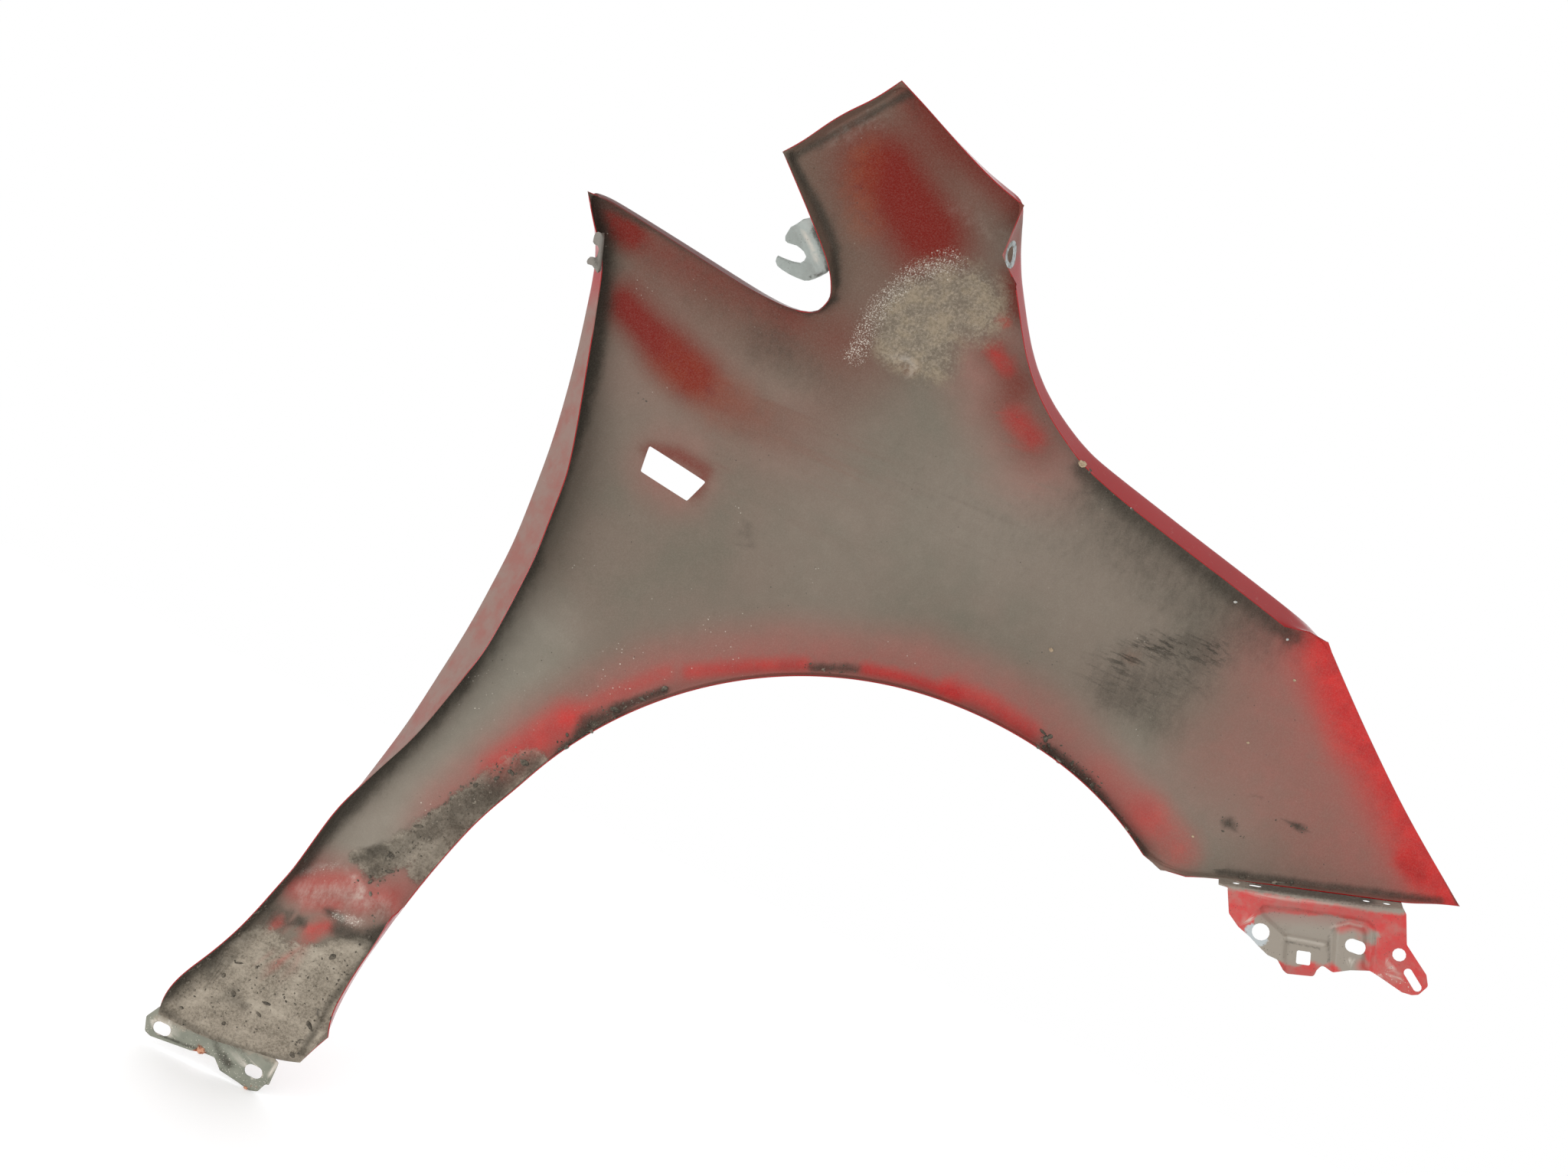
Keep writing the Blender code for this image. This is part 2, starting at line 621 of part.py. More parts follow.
def bumper_bend():
    """Bend of the bumper bracket, at the middle of the skin's bumper edge."""
    nose_end, knee = place(*NOSE_SHARES[-1]), place(*BUMPER_KNEE_SHARE)
    ahead = (knee - nose_end).normalized()
    stage = flange(BUMPER_PLACE_SHARE, BUMPER_FLANGE, BUMPER_BEND, lip=BUMPER_LIP)
    seat = rim_at(knee.lerp(nose_end, BUMPER_PLACE_SHARE), Vector((-ahead.y, ahead.x)), stage)
    return seated_bend(seat, [seat], BUMPER_SHELF, BUMPER_SHELF, 1, 0.0, BRACKET_BEND)


def nearest(rim, point, count=1):
    """Rim points closest to a point of the side view."""
    return sorted(rim, key=lambda at: (at.base - point).length)[:count]


def hook_bend(rim):
    """Bend of the glass hook, on the outer face of the neck's rear flange."""
    beside = nearest(rim, place(*HOOK_PLACE_SHARES), 3)
    return seated_bend(beside[0], beside, HOOK_HALF_LEG, HOOK_RISE, -1, HOOK_TURN, BRACKET_BEND)


def clip_bend(rim):
    """Bend of the pillar clip, on the outer face of the door flange near its top."""
    beside = nearest(rim, place(*CLIP_PLACE_SHARES), 5)
    return seated_bend(beside[0], beside, CLIP_HALF_LEG, CLIP_SEAT + CUT_EDGE + CLIP_RISE, 1, CLIP_TURN, BRACKET_BEND)


def sill_bend():
    """Bend of the sill bracket: its front edge, curled inboard from a plate outboard of the skin."""
    hole = place(*SILL_PLACE_SHARES)
    face = CLEARANCE + SILL_PLATE - LEG_SEAT
    origin = Vector((hole.x + SILL_FOLD_SHARE * SILL_HOLE_SPACING, face, hole.y))
    along, down, out = Vector((0, 0, -1)), Vector((-1, 0, 0)), Vector((0, 1, 0))
    return Bend(origin, along, down, out, math.radians(SILL_CURL_BEND), BRACKET_BEND)


def span(start, end, spacing):
    """Straight row of points from start to end."""
    return even_line([Vector(start), Vector(end)], spacing)


def closed_line(loop, spacing):
    """Evenly spaced points round a loop, ending where they started."""
    return even_line([*loop, loop[0]], spacing)


def bend_lines(bend, low, high):
    """Rows of points across a plate where its bend begins, turns and ends."""
    arc = bend.radius * bend.angle
    steps = max(2, round(math.degrees(bend.angle) / 30))
    return [span((low, -arc * step / steps), (high, -arc * step / steps), BRACKET_SPACING)
            for step in range(steps + 1)]


def make_plate(name, bend, outline, holes, lines, relief, thickness, colour, parent):
    """Bent sheet drawn flat as a loop with holes, raised by the relief, as one closed body."""
    low, high = min(p.x for p in outline), max(p.x for p in outline)
    rows = bend_lines(bend, low, high)
    flat, faces = triangulate(outline, holes, BRACKET_SPACING, [*rows, *lines])
    if bend.along.cross(bend.down).dot(bend.out) > 0:
        faces = [tuple(reversed(face)) for face in faces]
    bm = bmesh.new()
    top = [bm.verts.new(bent(bend, point, relief(point))) for point in flat]
    under = [bm.verts.new(bent(bend, point, relief(point) - thickness)) for point in flat]
    rims = {(face[i - 1], face[i]) for face in faces for i in range(len(face))}
    for face in faces:
        bm.faces.new([top[i] for i in face])
        bm.faces.new([under[i] for i in reversed(face)])
    for a, b in sorted(rims):
        if (b, a) not in rims:
            bm.faces.new((top[b], top[a], under[a], under[b]))
    loose = [vert for vert in bm.verts if not vert.link_faces]
    bmesh.ops.delete(bm, geom=loose, context="VERTS")
    return new_object(name, bm, colour, 0.6, 0.5, parent)


def no_relief(point):
    return 0.0


def towards(point, ring, run):
    """How far a point has climbed the wall round a ring: 0 outside it, 1 past the run inside it."""
    at = np.array([tuple(point)])
    if not inside(at, ring)[0]:
        return 0.0
    return float(ease(distance_to(at, ring)[0] / run))


def inset(loop, distance):
    """Loop moved inwards by the distance."""
    moved = []
    for before, point, after in zip(loop[-1:] + loop[:-1], loop, loop[1:] + loop[:1]):
        way = (after - before).normalized()
        side = Vector((-way.y, way.x)) * distance
        probe = np.array([tuple(point + side)])
        moved.append(point + (side if inside(probe, np.array([tuple(p) for p in loop]))[0] else -side))
    return moved


def bracket_place(share_across, share_down, across, down):
    """Point of a flat bracket, from shares of its width and of its drop."""
    return Vector((share_across * across, share_down * down))


# Bumper bracket

BUMPER_OUTLINE_SHARES = (
    (0.000, 0.020), (0.018, 0.322), (0.076, 0.475), (0.149, 0.588), (0.195, 0.680), (0.256, 0.785),
    (0.313, 0.825), (0.351, 0.952), (0.374, 0.992), (0.524, 0.975), (0.538, 0.890), (0.566, 0.813),
    (0.623, 0.883), (0.720, 0.820), (0.831, 0.797), (0.886, 0.855), (1.006, 0.998), (1.060, 1.015),
    (1.096, 0.997), (1.143, 0.877), (1.131, 0.738), (1.016, 0.400), (1.002, 0.020))
SHELF_LEFT_SHARE = -0.055
SHELF_RIGHT_SHARE = 0.985
SHELF_ROOT_SHARE = 0.08
SHELF_EASE_SHARES = ((0.5, -0.6), (0.0, -0.2))
BUMPER_FIELD_SHARES = ((0.190, 0.140), (0.620, 0.120), (0.805, 0.137), (0.851, 0.250), (0.848, 1.200),
                       (0.340, 1.200), (0.340, 0.520), (0.190, 0.280))
BUMPER_PAD_SHARES = ((0.610, 0.225), (0.800, 0.225), (0.800, 1.200), (0.610, 1.200))
BUMPER_RIB_SHARES = ((0.330, 0.470), (0.600, 0.490), (0.600, 0.590), (0.330, 0.570))
RIB_CREST_SHARES = ((0.350, 0.520), (0.580, 0.540))
RIB_WALL_SHARE = 0.8
SQUARE_CORNER_SHARE = 0.1
ROUND_HOLE_SHARES = (0.208, 0.503)
OVAL_HOLE_SHARES = (0.740, 0.515)
SQUARE_HOLE_SHARES = (0.460, 0.760)
ARM_HOLE_SHARES = (0.979, 0.538)
ARM_SLOT_SHARES = (1.060, 0.828)
ARM_SLOT_TURN = 55.0
OVAL_TURN = 12.0
WELD_HOLE_SHARES = (0.048, 0.159, 0.787, 0.900)
WELD_OVAL_SHARE = 0.159
WELD_OVAL_LENGTH = 0.011
WELD_ROW_SHARE = 0.60


def make_bumper_bracket(parent):
    bend = bumper_bend()

    def at(share_across, share_down):
        return bracket_place(share_across, share_down, BUMPER_LENGTH, BUMPER_DROP)

    arc = bend.radius * bend.angle
    root = -arc - BUMPER_SHELF * (1 - SHELF_ROOT_SHARE)
    left, right = SHELF_LEFT_SHARE * BUMPER_LENGTH, SHELF_RIGHT_SHARE * BUMPER_LENGTH
    outline = [at(*share) for share in BUMPER_OUTLINE_SHARES]
    outline += [Vector((right, -arc)), Vector((right, root)), Vector((left, root)), Vector((left, -arc))]
    outline += [bracket_place(*share, left, arc) for share in SHELF_EASE_SHARES]
    outline = rounded_loop(outline, BRACKET_BEND)

    row = -arc - BUMPER_SHELF * (1 - WELD_ROW_SHARE)
    holes = [oval_loop(at(*ROUND_HOLE_SHARES), 2 * BOLT_HOLE_RADIUS, 2 * BOLT_HOLE_RADIUS),
             oval_loop(at(*OVAL_HOLE_SHARES), BOLT_OVAL_LENGTH, BOLT_OVAL_WIDTH, math.radians(OVAL_TURN)),
             oval_loop(at(*ARM_HOLE_SHARES), 2 * ARM_HOLE_RADIUS, 2 * ARM_HOLE_RADIUS, steps=12),
             oval_loop(at(*ARM_SLOT_SHARES), ARM_SLOT_LENGTH, ARM_SLOT_WIDTH, math.radians(ARM_SLOT_TURN), 12)]
    corner = 0.5 * SQUARE_HOLE
    square = [Vector(c) for c in ((-corner, -corner), (corner, -corner), (corner, corner), (-corner, corner))]
    holes.append(rounded_loop([at(*SQUARE_HOLE_SHARES) + c for c in square], SQUARE_CORNER_SHARE * SQUARE_HOLE, 1))
    for share in WELD_HOLE_SHARES:
        width = 2 * WELD_HOLE_RADIUS
        length = WELD_OVAL_LENGTH if share == WELD_OVAL_SHARE else width
        holes.append(oval_loop(Vector((share * BUMPER_LENGTH, row)), length, width, steps=10))

    field = rounded_loop([at(*share) for share in BUMPER_FIELD_SHARES], 2 * BRACKET_BEND)
    pad = rounded_loop([at(*share) for share in BUMPER_PAD_SHARES], 3 * BRACKET_BEND)
    rib = rounded_loop([at(*share) for share in BUMPER_RIB_SHARES], BRACKET_BEND)
    run = BUMPER_WALL_RUN
    lines = [closed_line(loop, BRACKET_SPACING) for loop in (field, inset(field, run), pad, inset(pad, run), rib)]
    lines.append(span(*(at(*share) for share in RIB_CREST_SHARES), BRACKET_SPACING))
    rings = [np.array([tuple(p) for p in loop]) for loop in (field, pad, rib)]

    def relief(point):
        height = -BUMPER_FIELD_DEPTH * towards(point, rings[0], run)
        height += BUMPER_PAD_HEIGHT * towards(point, rings[1], run)
        return height + BUMPER_RIB_HEIGHT * towards(point, rings[2], RIB_WALL_SHARE * run)

    make_plate("bumper_bracket", bend, outline, holes, lines, relief, BUMPER_PLATE, (0.45, 0.05, 0.05), parent)


# Sill bracket

SILL_BOTTOM_SHARES = (
    (1.157, 0.400), (1.120, 0.890), (1.040, 1.020), (0.911, 0.887), (0.695, 0.707), (0.593, 0.187),
    (0.453, 0.220), (0.351, 0.393), (-0.075, 0.607), (-0.145, 0.467), (-0.192, -0.293), (-0.133, -0.867),
    (-0.072, -1.467), (0.024, -2.400), (1.090, -2.400), (1.100, -1.300), (1.157, -1.050))
SILL_SEAT_SHARES = (0.500, -0.300)
SILL_TIP_SHARE = 0.5


def sill_place(share_along, share_down):
    """Point of the flat sill bracket, down from the bolt holes' line and back from the curl."""
    return Vector((share_down * SILL_DROP, (SILL_FOLD_SHARE - share_along) * SILL_HOLE_SPACING))


def make_sill_bracket(parent):
    bend = sill_bend()
    tip = -bend.radius * bend.angle - SILL_CURL
    outline = [sill_place(*share) for share in SILL_BOTTOM_SHARES]
    outline += [Vector((outline[-1].x, tip)), Vector((SILL_TIP_SHARE * outline[0].x, tip))]
    outline = rounded_loop(outline, BRACKET_BEND)
    quarter = 0.5 * math.pi
    holes = [oval_loop(sill_place(share, 0.0), SILL_HOLE_LENGTH, SILL_HOLE_WIDTH, quarter) for share in (0.0, 1.0)]
    make_plate("sill_bracket", bend, outline, holes, [], no_relief, SILL_PLATE, (0.3, 0.31, 0.27), parent)


# Glass hook

HOOK_OUTLINE_SHARES = (
    (-0.530, 0.050), (-0.540, 0.217), (-0.500, 0.375), (-0.492, 0.522), (-0.446, 0.606), (-0.408, 0.669),
    (-0.352, 0.694), (-0.302, 0.667), (-0.246, 0.592), (-0.190, 0.517), (-0.117, 0.464), (-0.048, 0.428),
    (0.048, 0.417), (0.098, 0.489), (0.104, 0.572), (0.023, 0.703), (-0.056, 0.800), (-0.129, 0.883),
    (-0.175, 0.931), (-0.1625, 0.967), (-0.125, 1.000), (-0.046, 1.000), (0.046, 0.942), (0.165, 0.844),
    (0.279, 0.728), (0.383, 0.606), (0.419, 0.519), (0.4375, 0.411), (0.444, 0.264), (0.419, 0.117),
    (0.379, 0.030))
HOOK_CREASE_SHARES = ((-0.540, 0.380), (0.500, 0.230))


def make_glass_hook(parent, rim):
    bend = hook_bend(rim)

    def at(share_across, share_down):
        return bracket_place(share_across, share_down, HOOK_WIDTH, HOOK_REACH)

    foot = -bend.radius * bend.angle - HOOK_LEG
    outline = [at(*share) for share in HOOK_OUTLINE_SHARES]
    outline += [Vector((HOOK_HALF_LEG, outline[-1].y)), Vector((HOOK_HALF_LEG, foot)),
                Vector((-HOOK_HALF_LEG, foot)), Vector((-HOOK_HALF_LEG, outline[0].y))]
    a, b = (at(*share) for share in HOOK_CREASE_SHARES)
    beyond = Vector((a.y - b.y, b.x - a.x)).normalized()

    def relief(point):
        return -HOOK_LEAN * float(ramp((point - a).dot(beyond), BRACKET_BEND))

    crease = [span(a + beyond * shift, b + beyond * shift, BRACKET_SPACING) for shift in (0.0, BRACKET_BEND)]
    make_plate("glass_hook", bend, outline, [], crease, relief, HOOK_PLATE, (0.45, 0.48, 0.46), parent)


# Pillar clip

CLIP_OUTLINE_SHARES = (
    (-0.800, -0.060), (-0.824, 0.235), (-0.797, 0.435), (-0.741, 0.553), (-0.668, 0.600), (-0.579, 0.624),
    (-0.532, 0.470), (-0.512, 0.176), (-0.447, 0.000), (-0.359, 0.035), (-0.268, 0.129), (-0.226, 0.259),
    (-0.232, 0.553), (-0.2235, 0.765), (-0.162, 0.953), (-0.106, 1.000), (-0.056, 0.906), (-0.041, 0.470),
    (0.021, 0.2235), (0.115, -0.100))


CLIP_FOOT_SHARES = ((0.5, 0.5), (0.5, 1.0), (-1.0, 1.0), (-1.0, 0.6))
CLIP_ROOT_SHARE = 0.5


def make_pillar_clip(parent, rim):
    bend = clip_bend(rim)
    foot = -bend.radius * bend.angle - CLIP_LEG
    outline = [bracket_place(*share, CLIP_HEIGHT, CLIP_REACH) for share in CLIP_OUTLINE_SHARES]
    outline += [bracket_place(*share, CLIP_HALF_LEG, foot) for share in CLIP_FOOT_SHARES]
    outline.append(Vector((outline[0].x, CLIP_ROOT_SHARE * foot)))
    make_plate("pillar_clip", bend, outline, [], [], no_relief, CLIP_PLATE, (0.3, 0.29, 0.28), parent)


# Fender skin

LAMP_HOLE_SHARES = (-0.810, 0.5695)
LAMP_HOLE_SLOPE = -7.7
LAMP_HOLE_SKEW_SHARE = 0.09


def lamp_hole():
    """Corners of the side lamp's hole: a slanting four-sided opening with small radii."""
    centre = place(*LAMP_HOLE_SHARES)
    turn = Matrix.Rotation(math.radians(LAMP_HOLE_SLOPE), 2)
    half_length, half_height = 0.5 * LAMP_HOLE_LENGTH, 0.5 * LAMP_HOLE_HEIGHT
    skew = LAMP_HOLE_SKEW_SHARE * LAMP_HOLE_LENGTH
    corners = [Vector((-half_length, half_height)), Vector((half_length, half_height)),
               Vector((half_length - skew, -half_height)), Vector((skew - half_length, -half_height))]
    return rounded_loop([centre + turn @ corner for corner in corners], LAMP_HOLE_CORNER)


RING_HOLE_SHARE = 0.62


def cut_ring_hole(skin, rim, parent):
    """Cuts the bolt hole through the tab of the bonnet flange."""
    tab = max(rim, key=lambda at: at.stage.slant)
    start, flat, facing = flange_directions(tab)
    run = flat + tab.stage.slant * tab.along
    centre = start + run * tab.stage.width * RING_HOLE_SHARE
    bm = bmesh.new()
    bmesh.ops.create_cone(bm, cap_ends=True, segments=20, radius1=RING_HOLE_RADIUS, radius2=RING_HOLE_RADIUS,
                          depth=CUTTER_OVERRUN)
    cutter = new_object("ring_hole_cutter", bm, (0.5, 0.5, 0.5), 0.0, 0.5, parent)
    side = run.cross(tab.along).normalized()
    cutter.matrix_local = Matrix.Translation(centre) @ side.to_track_quat("Z", "Y").to_matrix().to_4x4()
    subtract(skin, cutter)


def make_skin(parent, rim):
    base = [point.base for point in rim]
    flat, faces = triangulate(base, [lamp_hole()], SKIN_SPACING)
    bm = bmesh.new()
    verts = [bm.verts.new(skin_point(point)) for point in flat]
    for face in faces:
        bm.faces.new([verts[i] for i in face])
    inner = verts[:len(base)]
    columns = [flange_rows(point, FOLD_STEPS) for point in rim]
    for row in range(len(columns[0])):
        outer = [bm.verts.new(column[row]) for column in columns]
        for i in range(len(outer)):
            j = (i + 1) % len(outer)
            bm.faces.new((inner[i], outer[i], outer[j], inner[j]))
        inner = outer
    skin = new_object("fender_skin", bm, (0.45, 0.03, 0.03), 0.0, 0.3, parent)
    thicken(skin, SKIN)
    cut_ring_hole(skin, rim, parent)


def main():
    for obj in list(bpy.data.objects):
        bpy.data.objects.remove(obj, do_unlink=True)
    hub = bpy.data.objects.new("wheel_centre", None)
    bpy.context.collection.objects.link(hub)
    hub.location = -bent(sill_bend(), sill_place(*SILL_SEAT_SHARES))
    rim = skin_rim(RIM_SPACING)
    make_skin(hub, rim)
    make_bumper_bracket(hub)
    make_sill_bracket(hub)
    make_glass_hook(hub, rim)
    make_pillar_clip(hub, rim)


if __name__ == "__main__":
    main()
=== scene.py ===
"""Looks of a scrapped car's left front fender, seen from its inner face.

Sizes are in metres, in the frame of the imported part: X to the car's front, Y outboard, Z up.
Marks on the paint are placed where the photograph shows them, in its own pixels.
"""

import math
from collections import namedtuple

import bmesh
import bpy
import numpy as np
from bpy.props import FloatProperty, FloatVectorProperty, IntProperty, PointerProperty
from mathutils import Matrix, Vector, noise


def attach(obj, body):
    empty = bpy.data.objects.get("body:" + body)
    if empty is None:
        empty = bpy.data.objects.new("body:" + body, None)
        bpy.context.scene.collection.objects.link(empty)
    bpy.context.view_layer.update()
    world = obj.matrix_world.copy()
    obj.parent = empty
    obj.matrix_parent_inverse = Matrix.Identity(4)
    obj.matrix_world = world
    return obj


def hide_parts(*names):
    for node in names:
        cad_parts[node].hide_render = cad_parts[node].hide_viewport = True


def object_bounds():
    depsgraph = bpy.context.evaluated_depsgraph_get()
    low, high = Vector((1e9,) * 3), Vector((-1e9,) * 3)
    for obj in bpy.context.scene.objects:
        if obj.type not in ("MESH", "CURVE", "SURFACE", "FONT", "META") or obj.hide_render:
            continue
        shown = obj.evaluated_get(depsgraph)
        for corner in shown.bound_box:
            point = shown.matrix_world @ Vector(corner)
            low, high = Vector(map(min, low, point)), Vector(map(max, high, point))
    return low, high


bl_info = {
    "name": "Scrapped fender looks",
    "version": (1, 0, 0),
    "blender": (4, 5, 0),
    "location": "3D View > Sidebar > Fender",
    "description": "Paint, primer, dirt and light for a scrapped car fender",
    "category": "Object",
}

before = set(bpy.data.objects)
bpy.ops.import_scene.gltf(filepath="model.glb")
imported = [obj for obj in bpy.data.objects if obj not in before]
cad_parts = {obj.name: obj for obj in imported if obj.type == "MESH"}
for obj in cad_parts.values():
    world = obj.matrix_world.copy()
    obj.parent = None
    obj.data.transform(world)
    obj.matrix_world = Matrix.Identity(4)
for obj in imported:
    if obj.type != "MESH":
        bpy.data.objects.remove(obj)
CAD_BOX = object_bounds()

# The photograph and its camera

PHOTO_WIDTH = 2048
PHOTO_HEIGHT = 1536
LENS_MM = 32.0
SENSOR_MM = 36.0
CAMERA_PLACE = (0.26885, -1.1468, 0.54009)
CAMERA_ROLL = math.radians(25.0)
CAMERA_RIGHT = (math.cos(CAMERA_ROLL), 0.0, math.sin(CAMERA_ROLL))
CAMERA_UP = (-math.sin(CAMERA_ROLL), 0.0, math.cos(CAMERA_ROLL))

# Shapes, and the ring of bare zinc round the tab's hole

JOIN_DISTANCE = 1e-6
SHEET = 0.0008
WALL_TOLERANCE = 0.02
CORNER_TURN = math.radians(22.0)
SKIN_SHARP = math.radians(40.0)
BRACKET_SHARP = math.radians(38.0)
BRACKET_LEVELS = 2
RING_CENTRE = (0.31714, -0.10336, 0.83808)
RING_RADIUS = 0.0100
RING_EDGE = 0.0106

# Light and floor

LAMP_SIZE = (0.8, 0.4)
LAMP_OFFSET = (-0.75, -0.85, -0.2)
FLOOR_CELLS = 8
FLOOR_GLOW = 0.15

# Layers of paint and dirt, with painted shade and painted highlights, the outer paint's own ones
# only where the sheet looks at the camera

LAYERS = ("spray", "deep", "haze", "grime", "mud", "residue", "dull", "rust", "speck", "worn",
          "stain", "zinc", "faded", "scratch")
OUTSIDE_LAYERS = ("dull", "stain")
FACING_GAIN = 3.0


def srgb(red, green, blue):
    """Linear colour from the 0 to 255 values that a picture shows."""
    linear = []
    for value in (red, green, blue):
        share = value / 255.0
        linear.append(share / 12.92 if share <= 0.04045 else ((share + 0.055) / 1.055) ** 2.4)
    return tuple(linear)


# Marks of each layer: radius in pixels, strength, and the photograph's pixels along the mark

